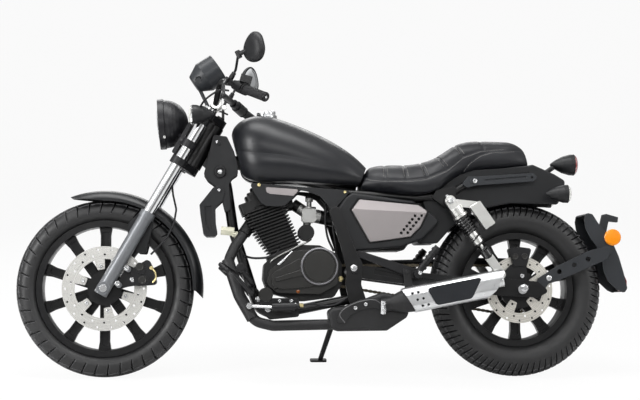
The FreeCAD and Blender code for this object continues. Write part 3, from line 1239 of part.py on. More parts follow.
def under_tank_trims():
    """Long plates under the tank with a lobe over the head and an arm down behind it."""
    plate = frame_slab(TRIM, 112, 120, 8.0)
    pocket = frame_slab(INSERT, 117.5, 121, 6.0)
    posts = [rod(on_frame(ahead, z, 104), on_frame(ahead, z, 112), 7.0) for ahead, z in ((336, 682), (28, 658))]
    bolts = [rod(on_frame(ahead, z, 119), on_frame(ahead, z, 123), 6.0) for ahead, z in ((336, 682), (28, 658))]
    return both_sides(join([plate.cut(pocket)] + posts + bolts).cut(fuel_tank()).cut(frame_rear()).cut(frame_plates()))


def trim_inserts():
    inner = [(314, 675), (195, 667), (215, 644), (299, 651), (311, 657)]
    return both_sides(frame_slab(inner, 117.5 + TOUCH, 121, 5.0))


SIDE_COVER = ((6, 656), (-210, 629), (-262, 596), (-308, 556), (-244, 490), (-168, 463), (4, 446), (76, 574), (30, 640))
SIDE_PLATE = ((-20, 632), (10, 594), (-56, 479), (-201, 500), (-236, 536), (-262, 590), (-230, 612))


def side_covers():
    """Deep six-sided covers with a bevelled border round the silver plates."""
    body = frame_slab(SIDE_COVER, 96, 128, 14.0)
    body = softened(body, 9.0, lambda edge: abs(edge.CenterOfMass.y - 128) < 0.1)
    pocket = frame_slab([(-12, 636), (18, 594), (-52, 472), (-204, 494), (-242, 534), (-270, 592), (-232, 618)],
                        119, 130, 8.0)
    hollow = frame_slab([(4, 640), (-204, 618), (-250, 590), (-290, 556), (-236, 500), (-166, 476), (-4, 458), (60, 574)],
                        95, 114, 10.0)
    side = body.cut(pocket).cut(hollow)
    return both_sides(side.cut(frame_plates()).cut(frame_rear()).cut(air_box()))


def side_plates():
    """Bright plates, folded in above a nearly level crease, with two rows of round holes."""
    plate = frame_slab(SIDE_PLATE, 119 + TOUCH, 133, 8.0)
    plate = softened(plate, 4.0, lambda edge: abs(edge.CenterOfMass.y - 133) < 0.1)
    crease = on_frame(24, 599, 133)
    fold = [crease, crease + V(0, -9, 50), crease + V(0, 6, 50), crease + V(0, 6, 0)]
    above = Part.Face(Part.makePolygon(fold + fold[:1])).extrude(V(-310, 0, -15))
    holes = []
    for row in range(2):
        for i in range(6):
            share = i / 5
            at = on_frame(-217 - 23.5 * row + 50 * share, 574 + row - 61 * share, 118)
            holes.append(rod(at, at + V(0, 18, 0), 5.3))
    return both_sides(plate.cut(above).cut(Part.makeCompound(holes)))


RAIL_IN = 113.0
RAIL_OUT = 127.0
LUGGAGE_BORE = (-640.0, 714.0)                      # ahead of the pivot, z
LUGGAGE_BORE_R = 4.5
GRAB_RAIL = ((-388, 690), (-410, 716), (-440, 716), (-646, 730), (-660, 714), (-646, 700), (-436, 684), (-404, 676))


def grab_rails():
    """Cast rails beside the rear seat."""
    rail = frame_slab(GRAB_RAIL, RAIL_IN, RAIL_OUT, 7.0)
    pads = [rod(on_frame(ahead, z, RAIL_Y + 11), on_frame(ahead, z, 114), 9.0) for ahead, z in ((-424, 700), (-560, 714))]
    bolt = rod(on_frame(-424, 700, 126), on_frame(-424, 700, 131), 8.0)
    slot = frame_slab([(-470, 706), (-620, 719), (-620, 713), (-470, 700)], 122, 130)
    hole = rod(on_frame(*LUGGAGE_BORE, 100), on_frame(*LUGGAGE_BORE, 140), LUGGAGE_BORE_R)
    return both_sides(join([rail.cut(slot), bolt] + pads).cut(frame_rear()).cut(hole))


TAIL = ((-246, 634), (-300, 664), (-346, 710), (-420, 744), (-630, 760), (-652, 764), (-730, 730), (-770, 706),
        (-764, 660), (-741, 619), (-568, 623), (-471, 603), (-405, 580), (-345, 524), (-303, 478), (-216, 476),
        (-272, 560))
TAIL_IN = ((-292, 452), (-292, 560), (-312, 650), (-350, 698), (-420, 730), (-630, 748), (-652, 754), (-726, 722),
           (-762, 700), (-757, 660), (-738, 600), (-471, 585), (-400, 558), (-335, 498))
TAIL_HALF = 87.0


def tail_fender():
    """Rear body over and ahead of the tyre: a shell open below."""
    shell = frame_slab(TAIL, -TAIL_HALF, TAIL_HALF, 14.0)
    shell = softened(shell, 6.0, lambda edge: abs(abs(edge.CenterOfMass.y) - TAIL_HALF) < 0.1)
    hollow = frame_slab(TAIL_IN, -TAIL_HALF + 5, TAIL_HALF - 5, 10.0)
    stem = rod(on_frame(-706, 734), on_frame(-754, 768), 9.0)
    arms = [rod(V(REAR_BULLET.x + 36, side * 84, REAR_BULLET.z), V(REAR_BULLET.x + 36, side * 124, REAR_BULLET.z), 8.0)
            for side in (-1, 1)]
    whole = join([shell.cut(hollow), stem] + arms)
    return whole.cut(frame_rear()).cut(seat())


TAIL_LAMP = V(-224, 0, 771)
TAIL_LAMP_R = 39.0


def tail_light():
    return bullet(TAIL_LAMP, -1, TAIL_LAMP_R, 88.0)


def tail_light_lens():
    return bullet_lens(TAIL_LAMP, -1, TAIL_LAMP_R)


def rear_indicators():
    return both_sides(bullet(REAR_BULLET, -1, 32.5, 80.0))


def rear_indicator_lenses():
    return both_sides(bullet_lens(REAR_BULLET, -1, 32.5))


# ---- rear mudguard on its arms -------------------------------------------
HUGGER = ((-257, 590), (-274, 586), (-293, 556), (-318, 523), (-350, 476), (-369, 432), (-386, 373), (-399, 318),
          (-388, 300), (-363, 311), (-328, 344), (-312, 380), (-308, 411), (-288, 468), (-262, 505), (-248, 535),
          (-244, 563), (-248, 585))
HUGGER_IN = ((-252, 582), (-268, 578), (-287, 552), (-312, 519), (-344, 472), (-363, 430), (-380, 371), (-393, 316),
             (-384, 290), (-340, 300), (-290, 370), (-270, 450), (-236, 500), (-226, 550), (-234, 580))
HUGGER_HALF = 76.0


def rear_hugger():
    """Deep mudguard behind the tyre, open towards it, with a bracket for the plate lamp."""
    outside = side_slab(HUGGER, -HUGGER_HALF, HUGGER_HALF, 12.0)
    shell = outside.cut(side_slab(HUGGER_IN, -HUGGER_HALF + 4, HUGGER_HALF - 4, 10.0))
    bar = side_slab([(-312, 524), (-328, 588), (-342, 591), (-386, 579), (-384, 560), (-350, 563), (-336, 500)], -9, 9, 2.0)
    return join([shell, bar.cut(outside)])


HUGGER_ARM = ((-64, 352), (-56, 308), (-82, 302), (-104, 334), (-141, 345), (-280, 405), (-322, 424), (-330, 466),
              (-322, 471), (-253, 452), (-133, 396))
HUGGER_ARM_Y = REAR_DISC_Y + DISC_THICK / 2 + 6.8   # inner face, clear of the disc


def hugger_arms():
    """Drilled arms from the swingarm's ends to the mudguard."""
    arm = side_slab(HUGGER_ARM, HUGGER_ARM_Y, HUGGER_ARM_Y + 6, 8.0)
    holes = [rod(V(x, 0, z), V(x, 200, z), 9.0) for x, z in ((-144, 377), (-198, 401), (-249, 422))]
    foot = rod(V(-70, HUGGER_ARM_Y + 1, 317), V(-70, ARM_Y - 13 - TOUCH, 317), 9.0)
    pad = rod(V(-326, HUGGER_HALF, 448), V(-326, HUGGER_ARM_Y + 2, 448), 9.0)
    side = join([arm, foot, pad]).cut(Part.makeCompound(holes)).cut(swingarm()).cut(rear_hugger())
    return both_sides(side)


def reflectors():
    """Round side reflectors and the small red one at the back."""
    amber = rod(V(-346, HUGGER_HALF + TOUCH, 502), V(-346, HUGGER_HALF + 12, 502), 30.0)
    side = amber.cut(hugger_arms())
    red = side_slab([(-380, 372), (-398, 368), (-411, 345), (-411, 318), (-390, 308)], -34, 34, 3.0)
    red = red.cut(side_slab(HUGGER, -HUGGER_HALF, HUGGER_HALF, 12.0))
    return Part.makeCompound([side, mirrored(side), red])


# ---- rear brake, pegs and pedals -----------------------------------------
def rear_caliper():
    """Caliper over the top of the disc on a bracket round the axle."""
    inner, outer = 84.0, 152.0
    points = []
    for radius, first, last in ((outer, 74, 106), (inner, 106, 74)):
        for angle in (first, (first + last) / 2, last):
            turn = math.radians(angle)
            points.append((radius * math.cos(turn), REAR_R + radius * math.sin(turn)))
    gap = DISC_THICK / 2 + PAD_GAP
    block = side_slab(points, REAR_DISC_Y - gap - 16, REAR_DISC_Y + gap + 17, 8.0)
    slot = rod(V(0, REAR_DISC_Y - gap, REAR_R), V(0, REAR_DISC_Y + gap, REAR_R), REAR_DISC_R + 5)
    block = block.cut(slot)
    plate = side_slab([(-22, 300), (-26, 400), (30, 404), (62, 372), (22, 300)], REAR_DISC_Y + gap + 2,
                      REAR_DISC_Y + gap + 10, 8.0)
    plate = plate.cut(rod(V(0, 0, REAR_R), V(0, 200, REAR_R), 18.0 + TOUCH))
    return join([block, plate])


MASTER_Y = 172.0            # rear brake's master cylinder, outboard of the header


def brake_master():
    """Foot brake's master cylinder on its plate, with pushrod and banjo."""
    plate = frame_slab([(356, 282), (196, 282), (196, 216), (300, 206), (340, 240)], 132, 138, 10.0)
    plate = plate.cut(rod(on_frame(*OIL_CAP_AT, 0), on_frame(*OIL_CAP_AT, 200), OIL_CAP_R + TOUCH))
    posts = [rod(on_frame(ahead, z, CRADLE_Y + 4), on_frame(ahead, z, 133), 8.0) for ahead, z in ((300, 226), (210, 240))]
    body = rod(on_frame(292, 250, MASTER_Y), on_frame(212, 252, MASTER_Y), 16.0)
    saddle = frame_slab([(284, 244), (222, 246), (222, 234), (284, 234)], 136, MASTER_Y + 2)
    push = rod(on_frame(292, 250, MASTER_Y), on_frame(370, 254, MASTER_Y), 5.0)
    clevis = rod(on_frame(372, 254, MASTER_Y - 4), on_frame(372, 254, MASTER_Y + 12), 11.0)
    banjo = rod(on_frame(212, 252, MASTER_Y), on_frame(196, 256, MASTER_Y), 10.0)
    bolts = [rod(on_frame(ahead, 272, 138), on_frame(ahead, 272, 143), 6.0) for ahead in (265, 224)]
    return join([plate, body, saddle, push, clevis, banjo] + posts + bolts).cut(frame_cradle())


def foot_rests():
    """Forward foot pegs on arms from the down tube, with the brake pedal left and the gear lever right."""
    arm = bent_rod([on_frame(360, 330, 22), on_frame(360, 330, 160), on_frame(404, 386, 200)], 30.0, 10.0)
    peg = rod(on_frame(404, 386, 194), on_frame(404, 386, 300), 13.0)
    rings = [rod(on_frame(404, 386, 210 + 15 * i), on_frame(404, 386, 216 + 15 * i), 15.5) for i in range(6)]
    pivot = rod(on_frame(366, 298, 118), on_frame(366, 298, 178), 9.0)
    lever = bent_rod([on_frame(366, 298, 174), on_frame(430, 372, 210), on_frame(468, 396, 262)], 30.0, 7.0)
    tip = rod(on_frame(474, 398, 256), on_frame(448, 374, 290), 8.0)
    lug = frame_slab([(355, 294), (378, 294), (376, 332), (355, 332)], 120, 132, 5.0)
    side = join([arm, peg, pivot, lever, tip, lug] + rings)
    return both_sides(side.cut(frame_cradle()).cut(exhaust_header()))


def passenger_pegs():
    """Ribbed pegs folded up against their brackets."""
    base = on_frame(-222, 372, 170)
    top = on_frame(-292, 462, 182)
    peg = rod(base, top, 12.0)
    run = (top - base).normalize()
    rings = [rod(base + run * (22 + 18 * i), base + run * (32 + 18 * i), 15.0) for i in range(5)]
    hinge = rod(on_frame(-222, 366, 146), on_frame(-222, 366, 184), 15.0)
    stay = frame_slab([(-8, 452), (-4, 430), (-206, 352), (-240, 360), (-236, 386), (-210, 388)], PLATE_IN, PLATE_IN + STAY_THICK, 10.0)
    return both_sides(join([peg, hinge, stay] + rings).cut(frame_plates()).cut(side_covers()))


# ---- side stand ----------------------------------------------------------
LEAN_SIN = math.sin(math.radians(LEAN))
LEAN_COS = math.cos(math.radians(LEAN))
CROWN_R = 72.0              # mean crown radius of the two tyres
LIFT = CROWN_R * (1 - LEAN_COS)
STAND_PIVOT = on_frame(40, 234, -134.0)
STAND_FOOT_X = 96.0         # foot ahead of the swingarm pivot
STAND_FOOT_Y = -286.0
STAND_FOLDED = V(-0.985, -0.10, 0.10)               # way the leg lies when folded
STAND_LEG_R = 11.0


def floor_height(y):
    """Height of the floor, in the upright machine, at a distance to the left."""
    return (-LIFT - LEAN_SIN * y) / LEAN_COS


STAND_FOOT = V(PIVOT_X + STAND_FOOT_X, STAND_FOOT_Y, floor_height(STAND_FOOT_Y))
STAND_RUN = (STAND_FOOT - STAND_PIVOT).normalize()
STAND_AXIS = STAND_RUN.cross(STAND_FOLDED).normalize()


TONGUE_FROM = 0.5           # along the pivot's axis: the frame's tongue, then the leg's eye
TONGUE_TO = 13.0
EYE_FROM = -12.0
PIN_R = 7.0


def stand_bracket():
    """Tongue hung from the right lower tube, with the stand's headed pivot pin."""
    up = (AXIS_Z - STAND_AXIS * STAND_AXIS.z).normalize()
    side = STAND_AXIS.cross(up)
    start = STAND_PIVOT + STAND_AXIS * TONGUE_FROM
    end = STAND_PIVOT + STAND_AXIS * TONGUE_TO
    corners = [start + side * 14, start + side * 20 + up * 46, start - side * 20 + up * 46, start - side * 14]
    plate = Part.Face(Part.makePolygon(corners + corners[:1])).extrude(end - start)
    pin = rod(STAND_PIVOT + STAND_AXIS * (EYE_FROM - 1), end + STAND_AXIS * 5, PIN_R)
    head = rod(STAND_PIVOT + STAND_AXIS * (EYE_FROM - 5), STAND_PIVOT + STAND_AXIS * (EYE_FROM - FIT), PIN_R + 4)
    return join([plate, rod(start, end, 16.0), pin, head]).cut(frame_cradle())


def stand_leg():
    """Eye, tapered leg and a flat foot that lies on the floor."""
    eye_start = STAND_PIVOT + STAND_AXIS * EYE_FROM
    eye_end = STAND_PIVOT
    middle = STAND_PIVOT + STAND_AXIS * (EYE_FROM / 2)
    side = STAND_AXIS.cross(STAND_RUN)
    corners = [eye_start + side * 12, eye_start + side * 9 + STAND_RUN * 40,
               eye_start - side * 9 + STAND_RUN * 40, eye_start - side * 12]
    neck = Part.Face(Part.makePolygon(corners + corners[:1])).extrude(eye_end - eye_start)
    leg = cone(middle + STAND_RUN * 21, STAND_FOOT - STAND_RUN * 10, STAND_LEG_R, STAND_LEG_R - 2)
    foot = Part.makeBox(62, 44, 7, V(-26, -24, 0))
    foot = softened(foot, 10.0, lambda edge: abs(edge.tangentAt(edge.FirstParameter).z) > 0.9)
    foot.rotate(CENTRE, AXIS_X, -LEAN)
    foot.translate(STAND_FOOT)
    below = Part.makeBox(900, 900, 300, V(-450, -450, -300))
    below.rotate(CENTRE, AXIS_X, -LEAN)
    below.translate(STAND_FOOT)
    whole = join([rod(eye_start, eye_end, 16.0), neck, leg.cut(below), foot])
    return whole.cut(rod(eye_start - STAND_AXIS, eye_end + STAND_AXIS, PIN_R + FIT))


# ---- placing and writing -------------------------------------------------
ORIGIN_X = 692.5            # middle of the machine's box, ahead of the rear axle
ORIGIN_Y = -173.5           # and to the left of the tyres' line, once leaning


def stand(shape):
    """Lean the upright machine onto its stand and put the origin under its middle."""
    shape.rotate(CENTRE, AXIS_X, LEAN)
    shape.translate(V(-ORIGIN_X, -ORIGIN_Y, LIFT))
    return shape


def at_wheel(parts, centre):
    for shape in parts.values():
        shape.translate(centre)
    return parts


# node name: the functions whose solids it holds, all on one body
NODES = {
    "frame_backbone": (frame_backbone,),
    "frame_cradle": (frame_cradle, frame_plates, stand_bracket),
    "frame_rear": (frame_rear,),
    "neck_covers": (neck_covers, horn_cover),
    "fuel_tank": (fuel_tank,),
    "tank_cap": (tank_cap,),
    "under_tank_trims": (under_tank_trims,),
    "side_covers": (side_covers,),
    "silver_plates": (side_plates, trim_inserts),
    "seat": (seat,),
    "grab_rails": (grab_rails,),
    "tail_fender": (tail_fender, tail_light, rear_indicators),
    "rear_lenses": (tail_light_lens, rear_indicator_lenses, reflectors),
    "crankcase": (crankcase,),
    "barrel": (barrel,),
    "cylinder_head": (cylinder_head,),
    "engine_covers": (engine_covers, oil_filter_cap),
    "intake": (throttle_body, air_box),
    "chain": (chain, front_sprocket),
    "chain_guard": (chain_guard,),
    "exhaust_pipe": (exhaust_header, exhaust_box, silencer_inlet, silencer_hanger),
    "silencer": (silencer,),
    "silencer_panel": (silencer_panel,),
    "swingarm": (swingarm,),
    "rear_axle": (rear_axle,),
    "shocks": (shocks,),
    "shock_springs": (shock_springs,),
    "rear_caliper": (rear_caliper,),
    "rear_mudguard": (rear_hugger, hugger_arms),
    "foot_controls": (brake_master, foot_rests),
    "passenger_pegs": (passenger_pegs,),
    "fork_sliders": (fork_sliders,),
    "fork_stanchions": (fork_stanchions,),
    "fork_yokes": (fork_yokes,),
    "front_axle": (front_axle,),
    "front_fender": (front_fender, fender_stays),
    "front_caliper": (front_caliper,),
    "headlight": (headlight_shell, headlight_brackets),
    "front_indicators": (front_indicators,),
    "front_lenses": (headlight_lens, front_indicator_lenses),
    "handlebar": (handlebar,),
    "grips": (grips,),
    "bar_controls": (bar_switches, levers),
    "mirrors": (mirror_stems, mirror_heads),
    "instrument_pod": (instrument_pod, instrument_dial),
    "brake_hose": (brake_hose,),
    "side_stand": (stand_leg,),
}


def main():
    os.makedirs("parts", exist_ok=True)
    shapes = {}
    for name, makers in NODES.items():
        shapes[name] = join([solid for make in makers for solid in make().Solids])
    shapes.update(at_wheel(front_wheel_parts(), FRONT_AXLE))
    shapes.update(at_wheel(rear_wheel_parts(), REAR_AXLE))
    for name, shape in shapes.items():
        stand(shape).exportStep("parts/" + name + ".step")


if __name__ == "__main__":
    main()
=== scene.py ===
"""Finishes and fine pieces of a cruiser motorcycle that stands on its side stand.

Places are worked out in the upright machine's own millimetres: ahead of the rear
axle, to the rider's left, and up from the floor. on_machine() leans them as the
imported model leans.
"""
import json
import math

import bmesh
import bpy
import numpy as np
from mathutils import Matrix, Vector
from mathutils.bvhtree import BVHTree


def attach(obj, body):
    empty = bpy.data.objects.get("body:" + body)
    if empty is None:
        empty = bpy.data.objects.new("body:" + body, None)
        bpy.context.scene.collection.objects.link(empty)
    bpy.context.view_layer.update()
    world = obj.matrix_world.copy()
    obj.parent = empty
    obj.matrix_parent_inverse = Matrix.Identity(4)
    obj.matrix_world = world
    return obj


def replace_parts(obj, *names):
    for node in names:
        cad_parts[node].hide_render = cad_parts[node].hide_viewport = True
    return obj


bl_info = {
    "name": "Cruiser motorcycle dressing",
    "version": (1, 0, 0),
    "blender": (4, 5, 0),
    "location": "View3D > Sidebar > Motorcycle",
    "description": "Finishes and fine pieces for a cruiser motorcycle's CAD frame",
    "category": "Object",
}

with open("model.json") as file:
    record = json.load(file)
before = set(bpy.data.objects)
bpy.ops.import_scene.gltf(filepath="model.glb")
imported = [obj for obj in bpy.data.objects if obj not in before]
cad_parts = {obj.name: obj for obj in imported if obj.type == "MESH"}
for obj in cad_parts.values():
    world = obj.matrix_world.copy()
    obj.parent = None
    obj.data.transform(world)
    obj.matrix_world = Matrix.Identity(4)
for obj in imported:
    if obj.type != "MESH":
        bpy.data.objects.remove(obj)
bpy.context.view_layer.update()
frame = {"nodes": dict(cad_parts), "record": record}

# ---- the machine's own axes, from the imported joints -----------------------
JOINTS = {joint["name"]: joint for joint in frame["record"]["behaviour"]["joints"]}
REAR_AXLE = np.array(JOINTS["rear_wheel_spin"]["pos_m"])
FRONT_AXLE = np.array(JOINTS["front_wheel_spin"]["pos_m"])
AHEAD = np.array([1.0, 0.0, 0.0])
LEFT = np.array(JOINTS["rear_wheel_spin"]["axis"])
UP = np.cross(AHEAD, LEFT)
FORK_UP = np.array(JOINTS["steering"]["axis"])
FORK_AHEAD = np.cross(LEFT, FORK_UP)
MM = 0.001
CREASE = math.radians(32)   # edges sharper than this stay sharp

REAR_R = 313.0              # outer radii of the tyres, mm
FRONT_R = 316.0
PIVOT_X = 597.0             # swingarm pivot ahead of the rear axle


def spread(*values):
    """Scalars and arrays brought to one shape, with an axis added for the three coordinates."""
    return np.broadcast_arrays(*(np.asarray(value, float)[..., None] for value in values))


def on_machine(x, y, z):
    """Millimetres in the upright machine, scalars or arrays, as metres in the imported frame."""
    x, y, z = spread(x, y, z)
    return REAR_AXLE + MM * (x * AHEAD + y * LEFT + (z - REAR_R) * UP)


def on_frame(ahead, z, y=0.0):
    """The same, measured ahead of the swingarm pivot."""
    return on_machine(np.asarray(ahead, float) + PIVOT_X, y, z)


def on_fork(up, ahead=0.0, y=0.0):
    """Millimetres up the fork leg from the front axle, ahead of the leg, and to the left."""
    up, ahead, y = spread(up, ahead, y)
    return FRONT_AXLE + MM * (up * FORK_UP + ahead * FORK_AHEAD + y * LEFT)


def to_machine(points):
    """Packed metres back to the upright machine's millimetres (x, y, z in columns)."""
    away = (points - REAR_AXLE) / MM
    return np.stack([away @ AHEAD, away @ LEFT, away @ UP + REAR_R], axis=-1)


SHOCK_TOP = (PIVOT_X - 340.0, 626.0)
SHOCK_LOW = (76.0, 366.0)
SHOCK_Y = 150.0


def on_shock(down, side):
    """A point so many millimetres down one shock from its upper eye."""
    top = on_machine(SHOCK_TOP[0], side * SHOCK_Y, SHOCK_TOP[1])
    low = on_machine(SHOCK_LOW[0], side * SHOCK_Y, SHOCK_LOW[1])
    return top + (low - top) * (down * MM / np.linalg.norm(low - top))


# ---- what a user may set ---------------------------------------------------
def hex_setting(name, description, default):
    """A setting that holds an sRGB hex colour."""
    return bpy.props.StringProperty(name=name, description=description, default=default)


def metres_setting(name, description, default, **limits):
    """A setting that holds a length in metres."""
    return bpy.props.FloatProperty(name=name, description=description, default=default, unit="LENGTH",
                                   **limits)


class CruiserFinish(bpy.types.PropertyGroup):
    """Colours of the main finishes."""

    tank: hex_setting("Tank", "Matte lacquer of the fuel tank", "#16171A")
    bodywork: hex_setting("Bodywork", "Moulded covers and fenders", "#101113")
    frame: hex_setting("Frame", "Powder coat of the frame", "#0A0A0B")
    plates: hex_setting("Plates", "Lacquer of the side plates", "#8B8686")
    silencer: hex_setting("Silencer", "Silencer's metal", "#C9CACB")
    leather: hex_setting("Leather", "Seat cover", "#101115")
    thread: hex_setting("Thread", "Seat stitching", "#8C8A86")


class CruiserSizes(bpy.types.PropertyGroup):
    """Sizes of the fine pieces."""

    tread_depth: metres_setting("Tread depth", "Depth of the tyres' grooves", 0.0075, min=0.001, max=0.01)
    spring_wire: metres_setting("Spring wire", "Diameter of the shock springs' wire", 0.0085)
    stitch: metres_setting("Stitch", "Length of one stitch", 0.0055)
    voxel: metres_setting("Seat voxel", "Cell of the seat's remesh", 0.0055)


# ---- meshes from arrays ----------------------------------------------------
def grid_faces(rows, columns, wrap_rows, wrap_columns):
    """Quads of a rows x columns grid of points, closed round either way if asked."""
    i = np.arange(rows if wrap_rows else rows - 1)
    j = np.arange(columns if wrap_columns else columns - 1)
    i, j = (part.ravel() for part in np.meshgrid(i, j, indexing="ij"))
    here, below, right = i * columns, (i + 1) % rows * columns, (j + 1) % columns
    return np.stack([here + j, below + j, below + right, here + right], axis=1)


def merged(shapes):
    """Several (points, faces) as one, with the faces as plain lists."""
    points, faces, start = [], [], 0
    for some_points, some_faces in shapes:
        flat = np.asarray(some_points).reshape(-1, 3)
        points.append(flat)
        faces += [[int(corner) + start for corner in face] for face in some_faces]
        start += len(flat)
    return np.concatenate(points), faces


def numbers(items, name, width):
    """One property of every vertex, as rows of an array."""
    values = np.empty(len(items) * width)
    items.foreach_get(name, values)
    return values.reshape(-1, width)


def smoothed(mesh):
    """Shade every face of the mesh smooth."""
    mesh.polygons.foreach_set("use_smooth", np.ones(len(mesh.polygons), bool))


def welded(mesh, reach):
    """Join the mesh's points that lie within reach of each other."""
    shape = bmesh.new()
    shape.from_mesh(mesh)
    bmesh.ops.remove_doubles(shape, verts=shape.verts, dist=reach)
    shape.to_mesh(mesh)
    shape.free()


def piece(name, shapes, material, body):
    """One finished mesh object that rides on a CAD body, welded at its seams and poles, sharp past CREASE."""
    points, faces = merged(shapes)
    mesh = bpy.data.meshes.new(name)
    mesh.from_pydata(points.tolist(), [], faces)
    welded(mesh, 1e-6)
    smoothed(mesh)
    mesh.set_sharp_from_angle(angle=CREASE)
    mesh.materials.append(bpy.data.materials[material])
    thing = bpy.data.objects.new(name, mesh)
    bpy.context.collection.objects.link(thing)
    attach(thing, body)
    return thing


def unit(vector):
    """A vector, or each row of an array, brought to length 1."""
    return vector / np.linalg.norm(vector, axis=-1, keepdims=True)


def on_circle(angle):
    """(cos a, sin a) for every angle, as rows."""
    return np.stack([np.cos(angle), np.sin(angle)], axis=1)


def quarter_turn(rows):
    """Plane vectors turned a quarter to the left: (x, z) becomes (-z, x)."""
    return np.stack([-rows[:, 1], rows[:, 0]], axis=1)


def across(direction):
    """A direction as a unit vector, and two more square to it and to each other."""
    direction = unit(np.asarray(direction, float))
    side = unit(np.cross(direction, LEFT if abs(direction @ LEFT) < 0.9 else AHEAD))
    return direction, side, np.cross(direction, side)


def around(side, other, count):
    """Unit vectors all round, cos a s + sin a t, for one pair (s, t) or a row of them."""
    angle = np.linspace(0, 2 * np.pi, count, endpoint=False)[:, None]
    return np.cos(angle) * side[..., None, :] + np.sin(angle) * other[..., None, :]


def turned(profile, centre, direction, count=48):
    """A profile of (along, radius) in mm turned round an axis d.

    point = centre + along d + radius (cos a s + sin a t), with s and t square to d.
    """
    along, radius = np.asarray(profile, float).T
    direction, side, other = across(direction)
    ring = around(side, other, count)
    points = centre + MM * (along[None, :, None] * direction + radius[None, :, None] * ring[:, None, :])
    faces = grid_faces(count, len(along), True, False)[:, ::-1]
    return points.reshape(-1, 3), faces


def capped(rows, columns):
    """Faces of a tube of rings, with a flat face over each end."""
    faces = grid_faces(rows, columns, False, True).tolist()
    return faces + [list(range(columns)), list(range((rows - 1) * columns, rows * columns))[::-1]]


def swept(path, radius, sides=12, reference=LEFT):
    """A round tube along a path of metres: each point's ring lies square to the path's tangent."""
    path = np.asarray(path)
    tangent = unit(np.gradient(path, axis=0))
    side = unit(np.cross(tangent, reference))
    points = path[:, None] + radius * MM * around(side, np.cross(tangent, side), sides)
    return points.reshape(-1, 3), capped(len(path), sides)


def bar(start, end, radius, count=24):
    """A round bar between two points in metres, with its ends' edges broken."""
    long = np.linalg.norm(end - start) / MM
    edge = min(0.15 * radius, 1.0)
    return turned([(0, 0), (0, radius - edge), (edge, radius), (long - edge, radius), (long, radius - edge),
                   (long, 0)], start, end - start, count)


def smooth_path(knots, count):
    """Points on a Catmull-Rom curve through the knots: cubic blends of four neighbours."""
    knots = np.asarray(knots, float)
    padded = np.concatenate([2 * knots[:1] - knots[1:2], knots, 2 * knots[-1:] - knots[-2:-1]])
    at = np.linspace(0, len(knots) - 1, count)
    i = np.minimum(at.astype(int), len(knots) - 2)
    t = (at - i)[:, None]
    a, b, c, d = (padded[i + shift] for shift in range(4))
    return 0.5 * (2 * b + (c - a) * t + (2 * a - 5 * b + 4 * c - d) * t ** 2
                  + (3 * b - a - 3 * c + d) * t ** 3)


# ---- materials -------------------------------------------------------------
def linear(text):
    """An sRGB hex colour as linear RGBA."""
    parts = np.array([int(text[i:i + 2], 16) / 255 for i in (1, 3, 5)])
    parts = np.where(parts <= 0.04045, parts / 12.92, ((parts + 0.055) / 1.055) ** 2.4)
    return (*parts.tolist(), 1.0)


def add(tree, kind, inputs=None, **settings):
    """A node with its settings and its inputs, which are values or the sockets that feed them."""
    node = tree.nodes.new(kind)
    for key, value in settings.items():
        setattr(node, key, value)
    for key, value in (inputs or {}).items():
        if isinstance(value, bpy.types.NodeSocket):
            tree.links.new(value, node.inputs[key])
        else:
            node.inputs[key].default_value = value
    return node


def blank(name):
    """A new material's empty tree, and its object coordinates."""
    material = bpy.data.materials.new(name)
    material.use_nodes = True
    material.node_tree.nodes.clear()
    return material.node_tree, add(material.node_tree, "ShaderNodeTexCoord").outputs["Object"]


def covered(tree, surface):
    """Give the material its surface shader."""
    add(tree, "ShaderNodeOutputMaterial", {"Surface": surface})


def principled(tree, inputs):
    """A Principled shader with these inputs."""
    return add(tree, "ShaderNodeBsdfPrincipled", inputs).outputs["BSDF"]


def arithmetic(tree, operation, *values):
    """The result of one Math node."""
    return add(tree, "ShaderNodeMath", dict(enumerate(values)), operation=operation).outputs["Value"]


def vectors(tree, operation, result, *values):
    """One result of one Vector Math node."""
    return add(tree, "ShaderNodeVectorMath", dict(enumerate(values)), operation=operation).outputs[result]


def ranged(tree, value, low, high, first=0.3, last=0.7):
    """A value carried from (first, last) to (low, high); noise seldom leaves 0.3 to 0.7."""
    return add(tree, "ShaderNodeMapRange", {"Value": value, "From Min": first, "From Max": last,
                                            "To Min": low, "To Max": high}).outputs["Result"]


def varied(tree, place, low, high, size_mm):
    """A value that wanders between low and high over patches of one size."""
    noise = add(tree, "ShaderNodeTexNoise", {"Vector": place, "Scale": 1.0 / (size_mm * MM), "Detail": 3.0})
    return ranged(tree, noise.outputs["Fac"], low, high)


def tinted(tree, place, colour, amount, size_mm):
    """The colour, a little lighter and darker in patches."""
    shade = varied(tree, place, 1.0 - amount, 1.0 + amount, size_mm)
    return add(tree, "ShaderNodeMix", {"Factor": 1.0, 6: linear(colour), 7: shade}, data_type="RGBA",
               blend_type="MULTIPLY").outputs[2]


def bumped(tree, height, depth_mm, round_mm=0.0):
    """The surface's normal, tipped by a height pattern and, if asked, rounded at sharp edges."""
    inputs = {"Height": height, "Distance": depth_mm * MM, "Strength": 1.0}
    if round_mm:
        bevel = add(tree, "ShaderNodeBevel", {"Radius": round_mm * MM}, samples=4)
        inputs["Normal"] = bevel.outputs["Normal"]
    return add(tree, "ShaderNodeBump", inputs).outputs["Normal"]


